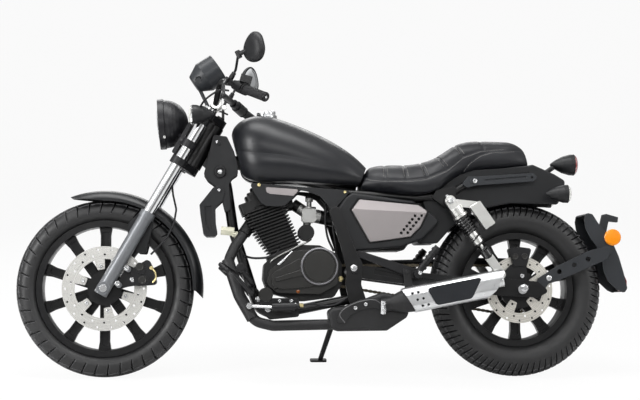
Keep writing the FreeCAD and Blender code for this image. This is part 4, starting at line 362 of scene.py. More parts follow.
# name: colour, metallic, roughness low and high, grain mm, grain depth mm, coat, tint of the patches
FINISHES = {
    # matte two-pack lacquer on pressed steel: broad soft highlights, hardly any grain
    "matte tank lacquer": ("tank", 0.0, 0.33, 0.38, 1.2, 0.004, 0.0, 0.04),
    # injection-moulded ABS with a fine spark-eroded texture that greys the light it catches
    "moulded ABS": ("bodywork", 0.0, 0.42, 0.52, 0.8, 0.02, 0.0, 0.06),
    # the same, smoother and greyer, as on the grab rails and the pod
    "fine ABS": ("#26282B", 0.0, 0.34, 0.42, 0.8, 0.012, 0.0, 0.05),
    # polyester powder coat on steel tube: satin, a slight orange peel
    "powder coat": ("frame", 0.0, 0.28, 0.36, 2.0, 0.03, 0.0, 0.05),
    # matte enamel of the spun lamp bowl, its sheen even all round
    "lamp enamel": ("#121215", 0.0, 0.38, 0.44, 2.0, 0.005, 0.0, 0.03),
    # sprayed silver lacquer with aluminium flake, which darkens as it turns from the light
    "silver lacquer": ("plates", 0.75, 0.31, 0.34, 0.9, 0.0, 0.0, 0.02),
    # satin enamel of the front fender
    "fender enamel": ("#101113", 0.0, 0.30, 0.36, 1.5, 0.008, 0.0, 0.05),
    # black enamel baked on the cast wheels, satin with a faint sand texture
    "wheel enamel": ("#0C0C0D", 0.0, 0.28, 0.36, 1.5, 0.02, 0.0, 0.06),
    # black engine paint on sand-cast aluminium, rough to the light
    "engine paint": ("#0B0B0B", 0.0, 0.36, 0.52, 1.6, 0.06, 0.0, 0.12),
    # satin painted die-cast covers, smoother than the cases
    "cover paint": ("#100F0C", 0.0, 0.28, 0.34, 1.4, 0.01, 0.04, 0.06),
    # the covers' chamfered edge: the chamfer is real, its light grey is a painted highlight
    "cover edge painted highlight": ("#77767A", 0.8, 0.30, 0.36, 1.0, 0.005, 0.0, 0.04),
    # black paint on die-cast yokes and hangers
    "die-cast black": ("#0E0E10", 0.0, 0.34, 0.42, 1.4, 0.03, 0.0, 0.06),
    # silicone heat paint, dry and dusty
    "heat paint": ("#161617", 0.0, 0.46, 0.60, 1.8, 0.03, 0.0, 0.10),
    # the silencer's side panel, smooth blue-black paint
    "panel paint": ("#17191D", 0.0, 0.32, 0.40, 1.8, 0.006, 0.0, 0.04),
    # satin grey paint on the fork's cast lower legs
    "slider paint": ("#66686B", 0.4, 0.34, 0.40, 1.2, 0.01, 0.0, 0.03),
    # hard chrome on ground tube, almost a mirror
    "hard chrome": ("#DADBDC", 1.0, 0.07, 0.10, 4.0, 0.0, 0.0, 0.0),
    # zinc-plated and buffed steel bolts and axles
    "bright zinc": ("#C6C7C8", 1.0, 0.20, 0.28, 2.0, 0.005, 0.0, 0.04),
    # machined 6061 shock bodies
    "machined aluminium": ("#CFCFCC", 1.0, 0.26, 0.33, 1.0, 0.01, 0.0, 0.03),
    # cast aluminium left bare, as on the throttle body
    "bare casting": ("#A3A3A1", 0.9, 0.40, 0.5, 1.0, 0.04, 0.0, 0.08),
    # oiled case-hardened chain steel
    "oiled steel": ("#6C6558", 1.0, 0.34, 0.46, 2.0, 0.01, 0.0, 0.10),
    # black epoxy on the coil springs, glossy enough to draw each coil's light line
    "spring epoxy": ("#0B0B0C", 0.0, 0.20, 0.26, 2.0, 0.01, 0.2, 0.03),
    # grip and hose rubber, dull
    "soft rubber": ("#151517", 0.0, 0.55, 0.66, 0.9, 0.03, 0.0, 0.05),
    # brass left bare: banjos, drain plugs and their washers
    "worn brass": ("#CDBF8E", 1.0, 0.26, 0.36, 1.2, 0.01, 0.0, 0.08),
    # a thin bar along the exhaust box's raised rib, its grey a painted highlight
    "rib edge painted highlight": ("#5A5A5B", 0.3, 0.36, 0.44, 1.2, 0.01, 0.0, 0.08),
    # natural nylon of the wiring's joint, cream
    "natural nylon": ("#C9C8B4", 0.0, 0.40, 0.50, 1.0, 0.01, 0.0, 0.05),
    # steel wire braid of the cables' outer, drawn coarser than the real 0.3 mm wires
    "wire braid": ("#8E8E8C", 1.0, 0.30, 0.45, 1.2, 0.15, 0.0, 0.20),
    # spun polyester thread, grey against the leather
    "thread": ("thread", 0.0, 0.65, 0.75, 0.4, 0.05, 0.0, 0.05),
    # stamped stainless silencer skin, brushed to a soft shine
    "silencer metal": ("silencer", 1.0, 0.27, 0.34, 1.0, 0.01, 0.0, 0.03),
}


# moulded acrylic: colour, transmission, roughness
LENSES = {
    "clear lens": ("#F4F6F6", 0.92, 0.08),
    "red lens": ("#8E1013", 0.35, 0.12),
    "amber lens": ("#E88A08", 0.1, 0.14),
    "frosted lens": ("#E9E9E4", 0.3, 0.2),
    "oil window": ("#8A4A14", 0.2, 0.1),
}
ACRYLIC_IOR = 1.49


def finished(tree, place, name, colours):
    """The shader of one finish: its roughness wanders in patches and its grain is a fine bump."""
    colour, metallic, smooth, rough, grain, depth, coat, tint = FINISHES[name]
    colour = colour if colour.startswith("#") else getattr(colours, colour)
    inputs = {"Base Color": tinted(tree, place, colour, tint, 40.0), "Metallic": metallic,
              "Roughness": varied(tree, place, smooth, rough, 25.0), "Coat Weight": coat,
              "Specular IOR Level": 0.5 if metallic or coat else 0.3}
    if depth:
        inputs["Normal"] = bumped(tree, varied(tree, place, 0.0, 1.0, grain), depth, 2.0)
    return principled(tree, inputs)


def make_plain_finishes(colours):
    """Every finish of the table, each as a material of its own."""
    for name in FINISHES:
        tree, place = blank(name)
        covered(tree, finished(tree, place, name, colours))


def make_leather(colours):
    """Vinyl-backed leather: pebbled grain of 1.6 mm cells, worn a little smoother in patches."""
    tree, place = blank("seat leather")
    cells = add(tree, "ShaderNodeTexVoronoi", {"Vector": place, "Scale": 1 / (1.6 * MM)}, feature="SMOOTH_F1")
    covered(tree, principled(tree, {"Base Color": tinted(tree, place, colours.leather, 0.08, 60.0),
                                    "Roughness": varied(tree, place, 0.40, 0.52, 30.0),
                                    "Normal": bumped(tree, cells.outputs["Distance"], 0.12),
                                    "Specular IOR Level": 0.3}))


def make_tyre_rubber():
    """Cured tyre rubber: black faces; a greyer line at the blocks' edges is a painted highlight, and the
    near-black grooves are painted shade.
    """
    tree, place = blank("tyre rubber")
    depth = add(tree, "ShaderNodeAttribute", attribute_name="groove").outputs["Fac"]
    rubber_and_painted_light = add(tree, "ShaderNodeValToRGB", {"Fac": depth})
    stops = rubber_and_painted_light.color_ramp.elements
    # the blocks' faces keep the rubber's own black; near-black at the groove bottoms is painted shade
    stops[0].color, stops[1].color = linear("#101011"), linear("#040404")
    # painted highlight: a grey line where the blocks' edges fall away into the grooves
    stops.new(0.12).color = linear("#4C4C4E")
    # painted shade down in the grooves
    stops.new(0.45).color = linear("#080808")
    covered(tree, principled(tree, {"Base Color": rubber_and_painted_light.outputs["Color"],
                                    "Roughness": varied(tree, place, 0.42, 0.58, 18.0),
                                    "Normal": bumped(tree, varied(tree, place, 0.0, 1.0, 1.0), 0.03),
                                    "Specular IOR Level": 0.45}))


def make_turned_steel(name, colour, centre, metallic):
    """Steel ground on a lathe: fine rings 1.6 mm apart round the wheel's axle, from the distance to it."""
    tree, place = blank(name)
    away = vectors(tree, "SUBTRACT", "Vector", place, centre.tolist())
    side = vectors(tree, "CROSS_PRODUCT", "Vector", away, LEFT.tolist())
    rings = arithmetic(tree, "MULTIPLY", vectors(tree, "LENGTH", "Value", side), 1 / (1.6 * MM))
    noise = add(tree, "ShaderNodeTexNoise", {"W": rings, "Scale": 1.0, "Detail": 2.0},
                noise_dimensions="1D").outputs["Fac"]
    covered(tree, principled(tree, {"Base Color": linear(colour), "Metallic": metallic,
                                    "Roughness": ranged(tree, noise, 0.24, 0.38),
                                    "Normal": bumped(tree, noise, 0.02)}))


def make_lens(name):
    """Moulded acrylic, clear or dyed through."""
    colour, transmission, rough = LENSES[name]
    tree, place = blank(name)
    covered(tree, principled(tree, {"Base Color": linear(colour), "IOR": ACRYLIC_IOR,
                                    "Transmission Weight": transmission,
                                    "Roughness": varied(tree, place, rough, rough + 0.04, 10.0)}))


def make_mirror():
    """Silvered glass."""
    tree, place = blank("mirror silver")
    covered(tree, principled(tree, {"Base Color": linear("#E6E8EA"), "Metallic": 1.0,
                                    "Roughness": varied(tree, place, 0.02, 0.035, 20.0)}))


def two_tone(name, first, second, spots, colours):
    """The first finish, but the second inside any of the balls (centre in metres, radius in mm)."""
    tree, place = blank(name)
    inside = 0.0
    for centre, radius in spots:
        away = vectors(tree, "DISTANCE", "Value", place, centre.tolist())
        inside = arithmetic(tree, "MAXIMUM", inside, arithmetic(tree, "LESS_THAN", away, radius * MM))
    mix = add(tree, "ShaderNodeMixShader", {"Fac": inside, 1: finished(tree, place, first, colours),
                                            2: finished(tree, place, second, colours)})
    covered(tree, mix.outputs["Shader"])


# finish: CAD nodes
NODE_FINISH = {
    "powder coat": ("frame_backbone", "frame_cradle", "frame_rear", "swingarm", "handlebar", "side_stand"),
        "moulded ABS": ("neck_covers", "under_tank_trims", "side_covers", "tail_fender", "chain_guard",
        "front_indicators", "mirrors"),
    "matte tank lacquer": ("fuel_tank",),
    "bright zinc": ("tank_cap", "rear_axle", "front_axle"),
    "silver lacquer": ("silver_plates",),
    "fine ABS": ("grab_rails", "rear_mudguard", "instrument_pod"),
    "engine paint": ("crankcase", "barrel", "cylinder_head"),
    "cover paint": ("engine_covers",),
    "intake castings": ("intake",),
    "heat paint": ("exhaust_pipe",),
    "silencer metal": ("silencer",),
    "panel paint": ("silencer_panel",),
    "shock bodies": ("shocks",),
        "die-cast black": ("rear_caliper", "foot_controls", "passenger_pegs", "fork_yokes", "front_caliper",
        "bar_controls"),
    "slider paint": ("fork_sliders",),
    "hard chrome": ("fork_stanchions",),
    "fender enamel": ("front_fender",),
    "lamp enamel": ("headlight",),
    "clear lens": ("front_lenses",),
    "soft rubber": ("brake_hose",),
    "wheel enamel": ("front_rim", "rear_rim"),
    "front disc steel": ("front_disc",),
    "rear disc steel": ("rear_disc",),
    "oiled steel": ("rear_sprocket",),
}


class MOTO_OT_finishes(bpy.types.Operator):
    """Make every finish and put the right one on each CAD node"""
    bl_idname = "motorcycle.finishes"
    bl_label = "Finishes"

    def execute(self, context):
        colours = context.scene.cruiser_finish
        make_plain_finishes(colours)
        make_leather(colours)
        make_tyre_rubber()
        make_turned_steel("front disc steel", "#C9C8C4", FRONT_AXLE, 0.75)
        make_turned_steel("rear disc steel", "#CCC9C1", REAR_AXLE, 0.6)
        for name in LENSES:
            make_lens(name)
        make_mirror()
        two_tone("intake castings", "engine paint", "bare casting",
                 [(on_frame(155, 582, 14), 47.0), (on_frame(154, 618, 18), 28.0)], colours)
        two_tone("shock bodies", "machined aluminium", "spring epoxy",
                 [(on_shock(226.0, side), 21.8) for side in (-1, 1)], colours)
        for finish, nodes in NODE_FINISH.items():
            for slot in (slot for node in nodes for slot in frame["nodes"][node].material_slots):
                slot.link = "OBJECT"
                slot.material = bpy.data.materials[finish]
        return {"FINISHED"}


# ---- tyres -----------------------------------------------------------------
def arc_through(a, b, c, count):
    """Points on the circle through three (y, r) points, from the first to the last."""
    a, b, c = (np.asarray(p, float) for p in (a, b, c))
    matrix = 2 * np.array([b - a, c - a])
    centre = np.linalg.solve(matrix, np.array([b @ b - a @ a, c @ c - a @ a]))
    radius = np.linalg.norm(a - centre)
    first, middle, last = (math.atan2(*(p - centre)[::-1]) for p in (a, b, c))
    span = (last - first) % (2 * math.pi)
    if (middle - first) % (2 * math.pi) > span:
        span -= 2 * math.pi
    angle = first + span * np.linspace(0, 1, count)
    return centre + radius * on_circle(angle)


def ramp(value, width):
    """0 below, 1 above, with a straight slope of one width about zero."""
    return np.clip(value / width + 0.5, 0, 1)


def groove(distance, half):
    """1 in a groove, 0 beside it, from how far a place is from its middle line, in mm."""
    return 1 - ramp(np.abs(distance) - half, 1.6)


def nearest(value, pitch):
    """How far a value is from the nearest multiple of the pitch, with its sign."""
    return (value / pitch + 0.5) % 1.0 * pitch - 0.5 * pitch


def blocks(along, over, pitch, shoulder, edge):
    """How deep the grooves are (0 to 1) at a place along and over the tread, both in mm.

    A zigzag groove runs each side of the middle and a finer one at each shoulder. Slots
    that bow a little forward cut the bands into blocks, a half pitch apart on the two
    sides, and run down over the shoulder to the edge.
    """
    side = np.sign(over)
    reach = np.abs(over)
    wave = np.abs(nearest(along, pitch)) * 4 / pitch - 1.0
    bow = 0.004 * (reach - 0.5 * shoulder) ** 2
    zig = groove(reach - (0.24 * shoulder + 0.05 * pitch * wave), 2.6)
    rim = groove(reach - (0.72 * shoulder + 0.03 * pitch * wave), 1.6)
    slot = groove(nearest(along + side * pitch * 0.25 + bow, pitch), 2.4) * ramp(reach - 0.24 * shoulder, 2.0)
    middle = groove(nearest(along + 0.5 * over, pitch), 2.0) * ramp(0.24 * shoulder - reach, 2.0)
    return np.maximum.reduce([zig, 0.8 * rim, slot, 0.8 * middle]) * ramp(edge - reach, 3.0)


def tyre_shape(centre, radius, width, bead_radius, rim_half, depth, pitches, reach):
    """Round the wheel by angle, across the section by arcs: r = arc(v) - depth * blocks(R a, s)."""
    bead = bead_radius + 0.2
    wide = bead + 0.47 * (radius - bead)
    edge = (0.89 * width / 2, radius - 0.21 * width)
    left = arc_through((rim_half, bead_radius + 15.0), (width / 2, wide), edge, 20)
    crown = arc_through(edge, (0.0, radius), (-edge[0], edge[1]), 46)
    base = np.array([(rim_half, bead)])
    section = np.concatenate([base, left, crown[1:-1], left[::-1] * (-1, 1), base * (-1, 1)])
    steps = np.linalg.norm(np.diff(section, axis=0), axis=1)
    run = np.concatenate([[0], np.cumsum(steps)])
    run -= run[-1] / 2
    shoulder = abs(run[len(left)])
    angle = np.linspace(0, 2 * np.pi, (1032 // pitches) * pitches, endpoint=False)
    tread = blocks(angle[:, None] * radius, run[None, :], 2 * np.pi * radius / pitches, shoulder,
                   shoulder + reach)
    out = unit(section - (0.0, edge[1] * 0.62))
    ridge = 0.9 * (np.abs(section[:, 1] - bead - 9.0) < 2.2) * np.sign(section[:, 0])
    y = section[None, :, 0] - out[None, :, 0] * depth * tread + ridge[None, :]
    r = section[None, :, 1] - out[None, :, 1] * depth * tread
    points = centre + MM * (y[..., None] * LEFT + (r * np.cos(angle)[:, None])[..., None] * AHEAD
                            + (r * np.sin(angle)[:, None])[..., None] * UP)
    return points, grid_faces(len(angle), len(section), True, True), tread


class MOTO_OT_tyres(bpy.types.Operator):
    """Tyres with cut tread blocks in place of the plain ones"""
    bl_idname = "motorcycle.tyres"
    bl_label = "Tyres"

    def execute(self, context):
        depth = context.scene.cruiser_sizes.tread_depth / MM
        for name, centre, radius, width, bead, half, pitches, reach, body in (
                ("front", FRONT_AXLE, FRONT_R, 110.0, 228.5, 33.8, 42, 24.0, "front_wheel"),
                ("rear", REAR_AXLE, REAR_R, 150.0, 190.5, 47.8, 78, 14.0, "rear_wheel")):
            points, faces, tread = tyre_shape(centre, radius, width, bead, half, depth, pitches, reach)
            tyre = piece(name + "_tread", [(points, faces)], "tyre rubber", body)
            # the groove depth also sets the painted highlight at the blocks' edges and the painted shade in
            # the grooves
            tyre.data.attributes.new("groove", "FLOAT", "POINT").data.foreach_set("value", tread.ravel())
            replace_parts(tyre, name + "_tyre")
        return {"FINISHED"}


# ---- seat ------------------------------------------------------------------
# the seam down each side, as (ahead of the pivot, up), and where each pleat meets it
SIDE_SEAM = ((-30.0, 722.0), (-62.0, 708.0), (-113.0, 702.0), (-187.0, 701.0), (-259.0, 709.0),
             (-337.0, 742.0), (-394.0, 789.0), (-458.0, 814.0), (-560.0, 826.0))
REAR_SEAM = ((-384.0, 715.0), (-396.0, 738.0), (-418.0, 769.0), (-456.0, 796.0), (-502.0, 811.0),
             (-600.0, 817.0))
PLEATS = (-44.0, -113.0, -187.0, -262.0, -337.0, -397.0, -474.0)
SWELL_PRESSURE = 3.0        # of the cloth simulation, from inside
SWELL_FRAMES = 12
SWELL_MOST = 7 * MM         # the furthest that any point may move
THREAD_LIFT = 0.3 * MM      # a stitch's middle above the leather


def seam_height(seam, ahead):
    """Height of a seam's line at places ahead of the pivot."""
    line = np.array(seam)[::-1]
    return np.interp(ahead, line[:, 0], line[:, 1])


def pleat_plane(place):
    """A point on the side seam and the seam's heading there, both as (ahead, up)."""
    rise = (seam_height(SIDE_SEAM, place + 25) - seam_height(SIDE_SEAM, place - 25)) / 50
    heading = np.array([1.0, rise]) / math.hypot(1.0, rise)
    return np.array([place, seam_height(SIDE_SEAM, place)]), heading


def hollow(distance, depth, width):
    """How deep a sewn line's hollow is at a distance d from it: depth exp(-(d / width)^2), in mm."""
    return depth * np.exp(-(distance / width) ** 2)


def seat_grooves(spot):
    """Depth in mm of the sewn seams at machine places, the sum of a hollow about each line.

    The pleats lie square to the seat's own line and end at the side seam; the seam itself
    and the pillion part's seam run along both sides.
    """
    x, y, z = spot.T
    ahead = x - PIVOT_X
    above = z - seam_height(SIDE_SEAM, ahead)
    flank = ramp(np.abs(y) - 62.0, 12.0)
    depth = hollow(above, 3.2, 4.5) * flank * ramp(ahead + 560.0, 30.0)
    behind = z - seam_height(REAR_SEAM, ahead)
    depth += hollow(behind, 3.0, 5.0) * flank * ramp(-380.0 - ahead, 10.0)
    for place in PLEATS:
        at, heading = pleat_plane(place)
        off = (ahead - at[0]) * heading[0] + (z - at[1]) * heading[1]
        near = ramp(55.0 - np.abs(ahead - place), 10.0)
        depth += hollow(off, 3.6, 4.5) * ramp(above, 5.0) * near
    return depth


class MOTO_OT_seat(bpy.types.Operator):
    """Padded seat: remeshed, swollen by a cloth simulation, then sewn across"""
    bl_idname = "motorcycle.seat"
    bl_label = "Seat"

    def execute(self, context):
        sizes = context.scene.cruiser_sizes
        source = frame["nodes"]["seat"]
        mesh = source.data.copy()
        mesh.transform(source.matrix_world)
        welded(mesh, 1e-5)
        cushion = bpy.data.objects.new("seat_cushion", mesh)
        context.collection.objects.link(cushion)
        context.view_layer.objects.active = cushion
        remesh = cushion.modifiers.new("Remesh", "REMESH")
        remesh.mode = "VOXEL"
        remesh.voxel_size = sizes.voxel
        evaluated = cushion.evaluated_get(context.evaluated_depsgraph_get())
        mesh = bpy.data.meshes.new_from_object(evaluated)
        cushion.modifiers.clear()
        cushion.data = mesh
        mesh.materials.clear()
        mesh.materials.append(bpy.data.materials["seat leather"])
        self.swell(context, cushion)
        points, normals = (numbers(cushion.data.vertices, name, 3) for name in ("co", "normal"))
        points -= MM * seat_grooves(to_machine(points))[:, None] * normals
        cushion.data.vertices.foreach_set("co", points.ravel())
        smoothed(cushion.data)
        smooth = cushion.modifiers.new("Subdivision", "SUBSURF")
        smooth.levels = smooth.render_levels = 1
        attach(cushion, "chassis")
        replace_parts(cushion, "seat")
        return {"FINISHED"}

    def swell(self, context, cushion):
        """Cloth under pressure, with each point held within a few millimetres of where it began."""
        start = numbers(cushion.data.vertices, "co", 3)
        cloth = cushion.modifiers.new("Cloth", "CLOTH")
        cloth.settings.use_pressure = True
        cloth.settings.uniform_pressure_force = SWELL_PRESSURE
        cloth.settings.effector_weights.gravity = 0.0
        cloth.settings.quality = 5
        for step in range(1, SWELL_FRAMES + 1):
            context.scene.frame_set(step)
        evaluated = cushion.evaluated_get(context.evaluated_depsgraph_get())
        move = numbers(evaluated.data.vertices, "co", 3) - start
        length = np.linalg.norm(move, axis=1)[:, None]
        move *= np.minimum(1.0, SWELL_MOST / np.maximum(length, 1e-9))
        cushion.modifiers.clear()
        context.scene.frame_set(1)
        cushion.data.vertices.foreach_set("co", (start + move).ravel())
        cushion.data.update()


class MOTO_OT_stitching(bpy.types.Operator):
    """Rows of stitches beside each pleat and along the seams of the seat"""
    bl_idname = "motorcycle.stitching"
    bl_label = "Stitching"

    def execute(self, context):
        length = context.scene.cruiser_sizes.stitch / MM
        cushion = bpy.data.objects["seat_cushion"]
        tree = BVHTree.FromObject(cushion, context.evaluated_depsgraph_get())
        pairs = []
        for place in PLEATS[1:-1]:
            for offset in (-7.0, 7.0):
                pairs += self.across_top(tree, place, offset, length)
        for seam, first, last in ((SIDE_SEAM, -52, -548), (REAR_SEAM, -398, -590)):
            for side in (-1, 1):
                pairs += self.down_side(tree, seam, first, last, side, length)
        start, end = np.array(pairs).transpose(1, 0, 2)
        along = unit(end - start)
        side = unit(np.cross(along, UP + 0.3 * AHEAD))
        ring = around(side, np.cross(along, side), 6)[:, None]
        share, radius = np.array([(0.0, 0.1), (0.12, 0.6), (0.88, 0.6), (1.0, 0.1)]).T[..., None, None]
        points = start[:, None, None] + share * (end - start)[:, None, None] + radius * MM * ring
        stitches = [(stitch, capped(4, 6)) for stitch in points]
        piece("seat_stitches", stitches, "thread", "chassis")
        return {"FINISHED"}

    def across_top(self, tree, place, offset, length):
        """Stitches over the seat beside a pleat: rays from inside it, fanned from one side to the other."""
        at, heading = pleat_plane(place)
        square = np.array([-heading[1], heading[0]])
        heart = at + offset * heading
        inside = on_frame(heart[0], heart[1], 0.0)
        upward = square[0] * AHEAD + square[1] * UP
        hits = []
        for turn in np.radians(np.arange(-86.0, 86.1, 0.4)):
            way = math.cos(turn) * upward + math.sin(turn) * LEFT
            hit = tree.ray_cast(Vector(inside.tolist()), Vector(way.tolist()))
            if hit[0] is not None:
                hits.append(np.array(hit[0]) + THREAD_LIFT * way)
        return self.spaced(hits, length)

    def down_side(self, tree, seam, first, last, side, length):
        """Stitches 6 mm under a seam: rays from outside, square to the machine's side."""
        hits = []
        for ahead in np.arange(first, last, -1.5):
            outside = on_frame(ahead, seam_height(seam, ahead) - 6.0, side * 260.0)
            hit = tree.ray_cast(Vector(outside.tolist()), Vector((-side * LEFT).tolist()))
            if hit[0] is not None:
                hits.append(np.array(hit[0]) + THREAD_LIFT * side * LEFT)
        return self.spaced(hits, length)

    def spaced(self, hits, length):
        """Start and end of every stitch along a row of places: even lengths with gaps of half a stitch."""
        line = np.array(hits)
        run = np.concatenate([[0], np.cumsum(np.linalg.norm(np.diff(line, axis=0), axis=1))]) / MM
        starts = np.arange(2.0, run[-1] - length, 1.5 * length)
        ends = [np.stack([np.interp(starts + more, run, line[:, axis]) for axis in range(3)], axis=1)
                for more in (0.0, length)]
        return list(zip(*ends))


# ---- shock springs ---------------------------------------------------------
class MOTO_OT_springs(bpy.types.Operator):
    """Coil springs in place of the shocks' plain stacks"""
    bl_idname = "motorcycle.springs"
    bl_label = "Springs"

    def execute(self, context):
        wire = context.scene.cruiser_sizes.spring_wire / MM
        coils, sleeves = [], []
        for side in (-1, 1):
            direction, first, second = across(on_shock(1.0, side) - on_shock(0.0, side))
            for start, end, turns, radius in ((69.5 + wire / 2, 135.5 - wire / 2, 6.5, 22.5),
                                              (156.0, 212.0, 3.5, 15.5)):
                t = np.linspace(0, 1, int(turns * 36))
                lift = np.clip((t * turns - 0.6) / (turns - 1.2), 0, 1)
                angle = (2 * np.pi * turns * t)[:, None]
                along = (start + (end - start) * lift)[:, None]
                ring = np.cos(angle) * first + np.sin(angle) * second
                path = on_shock(0.0, side) + MM * (along * direction + radius * ring)
                coils.append(swept(path, wire / 2, 10, direction))
            sleeves.append(bar(on_shock(69.2, side), on_shock(135.8, side), 17.0))
        springs = piece("shock_coils", coils, "spring epoxy", "chassis")
        piece("shock_sleeves", sleeves, "spring epoxy", "chassis")
        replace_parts(springs, "shock_springs")
        return {"FINISHED"}


# ---- chain -----------------------------------------------------------------
FRONT_SPROCKET = (PIVOT_X + 66.0, 368.0)
CHAIN_Y = -92.0
CHAIN_PITCH = 15.875
REAR_TEETH = 36
FRONT_TEETH = 14
CHAIN_LINKS = 102


def chain_places(count):
    """Points spaced evenly round both sprockets' pitch circles and the two straight runs between."""
    big = CHAIN_PITCH * REAR_TEETH / (2 * math.pi)
    small = CHAIN_PITCH * FRONT_TEETH / (2 * math.pi)
    rear, front = np.array([0.0, REAR_R]), np.array(FRONT_SPROCKET)
    run = np.linalg.norm(front - rear)
    base = math.atan2(*(front - rear)[::-1])
    swing = math.acos((big - small) / run)
    straight = math.sqrt(run ** 2 - (big - small) ** 2)
    ends = np.cumsum([small * 2 * swing, straight, big * (2 * math.pi - 2 * swing)])
    along = (ends[-1] + straight) * np.arange(count) / count
    leg = np.searchsorted(ends, along, side="right")
    rest = 0 * along
    angle = np.choose(leg, [base - swing + along / small, base + swing + rest,
                            base + swing + (along - ends[1]) / big, base - swing + rest])
    extra = np.choose(leg, [rest, along - ends[0], rest, along - ends[2]])
    at_front = (leg < 2)[:, None]
    out = on_circle(angle)
    return (np.where(at_front, front, rear) + out * np.where(at_front, small, big)
            + quarter_turn(out) * extra[:, None])


def prisms(outline, low, high):
    """Closed prisms: outlines (many, corners, x and z) carried from one y to another."""
    corners = outline.shape[1]
    points = np.concatenate([on_machine(outline[..., 0], low, outline[..., 1]),
                             on_machine(outline[..., 0], high, outline[..., 1])], axis=1)
    ring = np.arange(corners)
    turn = np.roll(ring, -1)
    faces = np.stack([ring, ring + corners, turn + corners, turn], axis=1).tolist()
    faces += [ring.tolist(), (ring[::-1] + corners).tolist()]
    return [(each, faces) for each in points]


class MOTO_OT_chain(bpy.types.Operator):
    """Roller chain with waisted plates and round pins"""
    bl_idname = "motorcycle.chain"
    bl_label = "Chain"

    def execute(self, context):
        pins = chain_places(CHAIN_LINKS)
        following = np.roll(pins, -1, axis=0)
        way = unit(following - pins)
        out = quarter_turn(way)
        right = (CHAIN_PITCH / 2, 0.0) + 5.8 * on_circle(np.linspace(-0.62 * np.pi, 0.62 * np.pi, 7))
        waist = np.array([[0.0, 3.9]])
        plate = np.concatenate([right, waist, -right, -waist])[::-1]
        plates = ((pins + following)[:, None] / 2 + plate[None, :, :1] * way[:, None]
                  + plate[None, :, 1:] * out[:, None])
        inner = (CHAIN_Y + 3.2 + 1.7 * (np.arange(len(pins)) % 2))[:, None]
        circle = on_circle(np.linspace(2 * np.pi, 0, 8, endpoint=False))
        outer = 2 * CHAIN_Y - inner
        shapes = prisms(plates, inner, inner + 1.5) + prisms(plates, outer - 1.5, outer)
        for radius, reach in ((4.6, 3.2), (2.4, 6.4)):
            shapes += prisms(pins[:, None] + radius * circle, CHAIN_Y - reach, CHAIN_Y + reach)
        links = piece("chain_links", shapes, "oiled steel", "chassis")
        near, far = (on_machine(FRONT_SPROCKET[0], CHAIN_Y + reach, FRONT_SPROCKET[1]) for reach in (-3, 3))
        piece("drive_sprocket", [bar(near, far, 29.0, 42)], "oiled steel", "chassis")
        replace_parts(links, "chain")
        return {"FINISHED"}


# ---- lamps, reflectors and lenses ------------------------------------------
TAIL_LAMP = (-224.0, 0.0, 771.0)
REAR_BULLET = (-168.0, 142.0, 654.0)
LAMP_R = 91.5
BEAM_DIP = math.radians(4.7)


def domed(radius, rise, count=8):
    """Profile of a blunt dome: rise * (1 - (r/R)^5), closed by a flat back."""
    share = np.linspace(1, 0, count) ** 0.6
    front = np.stack([1.0 + rise * (1 - share ** 5), radius * share], axis=1)
    return np.concatenate([[(0.2, 0.0), (0.2, radius)], front])


class MOTO_OT_lenses(bpy.types.Operator):
    """Rear lenses and reflectors in their own colours, and what lies behind the front ones"""
    bl_idname = "motorcycle.lenses"
    bl_label = "Lenses"

    def execute(self, context):
        red = [turned(domed(38.0, 11.0), on_machine(*TAIL_LAMP), -AHEAD, 56), self.low_reflector()]
        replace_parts(piece("tail_lens", red, "red lens", "chassis"), "rear_lenses")
        ahead, out, up = REAR_BULLET
        pale = [turned(domed(31.5, 10.0), on_machine(ahead, side * out, up), -AHEAD) for side in (-1, 1)]
        piece("rear_indicator_lenses", pale, "frosted lens", "chassis")
        rim = [(0.2, 0), (0.2, 30), (7, 30), (9.5, 27.5), (10, 26), (10, 0)]
        amber = [turned(rim, on_machine(-346, side * 76, 502), side * LEFT) for side in (-1, 1)]
        piece("side_reflectors", amber, "amber lens", "chassis")
        beam = math.cos(BEAM_DIP) * AHEAD - math.sin(BEAM_DIP) * UP
        share = np.linspace(0.0, 1, 14)
        inner = np.stack([-62 + 60 * share ** 2, (LAMP_R - 13) * share], axis=1)
        outer = inner[::-1] - (1.2, 0)
        bowl = turned(np.concatenate([inner, outer]), on_fork(611, 128), beam, 64)
        piece("headlight_reflector", [(bowl[0], bowl[1][:, ::-1])], "hard chrome", "fork")
        bullet = np.array([(5.2, 0), (5.2, 33.7), (9.2, 27.8), (12.2, 14.0), (13.2, 0)])
        pale = [turned(bullet, on_fork(684, 39, side * 153), AHEAD) for side in (-1, 1)]
        piece("front_indicator_faces", pale, "frosted lens", "fork")
        return {"FINISHED"}

    def low_reflector(self):
        """The mudguard's reflector: its side outline carried across, its rear edge bowed out."""
        outline = np.array([(-380, 372), (-398, 368), (-408, 345), (-408, 318), (-390, 308)], float)
        y = np.linspace(-34, 34, 13)[:, None]
        bow = 3.0 * (1 - (y / 34) ** 2) * (outline[:, 0] < -395)
        points = on_machine(outline[:, 0] - bow, y, outline[:, 1])
        faces = grid_faces(13, 5, False, True)[:, ::-1].tolist() + [list(range(5)), list(range(60, 65))[::-1]]
        return points, faces


# ---- grips and mirrors -----------------------------------------------------
GRIP_FROM = (836.0, -84.0, 305.0)
GRIP_TO = (836.0, -163.0, 400.0)
# profiles beyond the grip's end
WEIGHT = np.array([(0.2, 0), (0.2, 14.5), (3.4, 13.5), (4.2, 11), (2.6, 8), (2.6, 0)])
SCREW = np.array([(2, 0), (2, 5.0), (4.6, 4.6), (4.8, 3.6), (4.8, 0)])


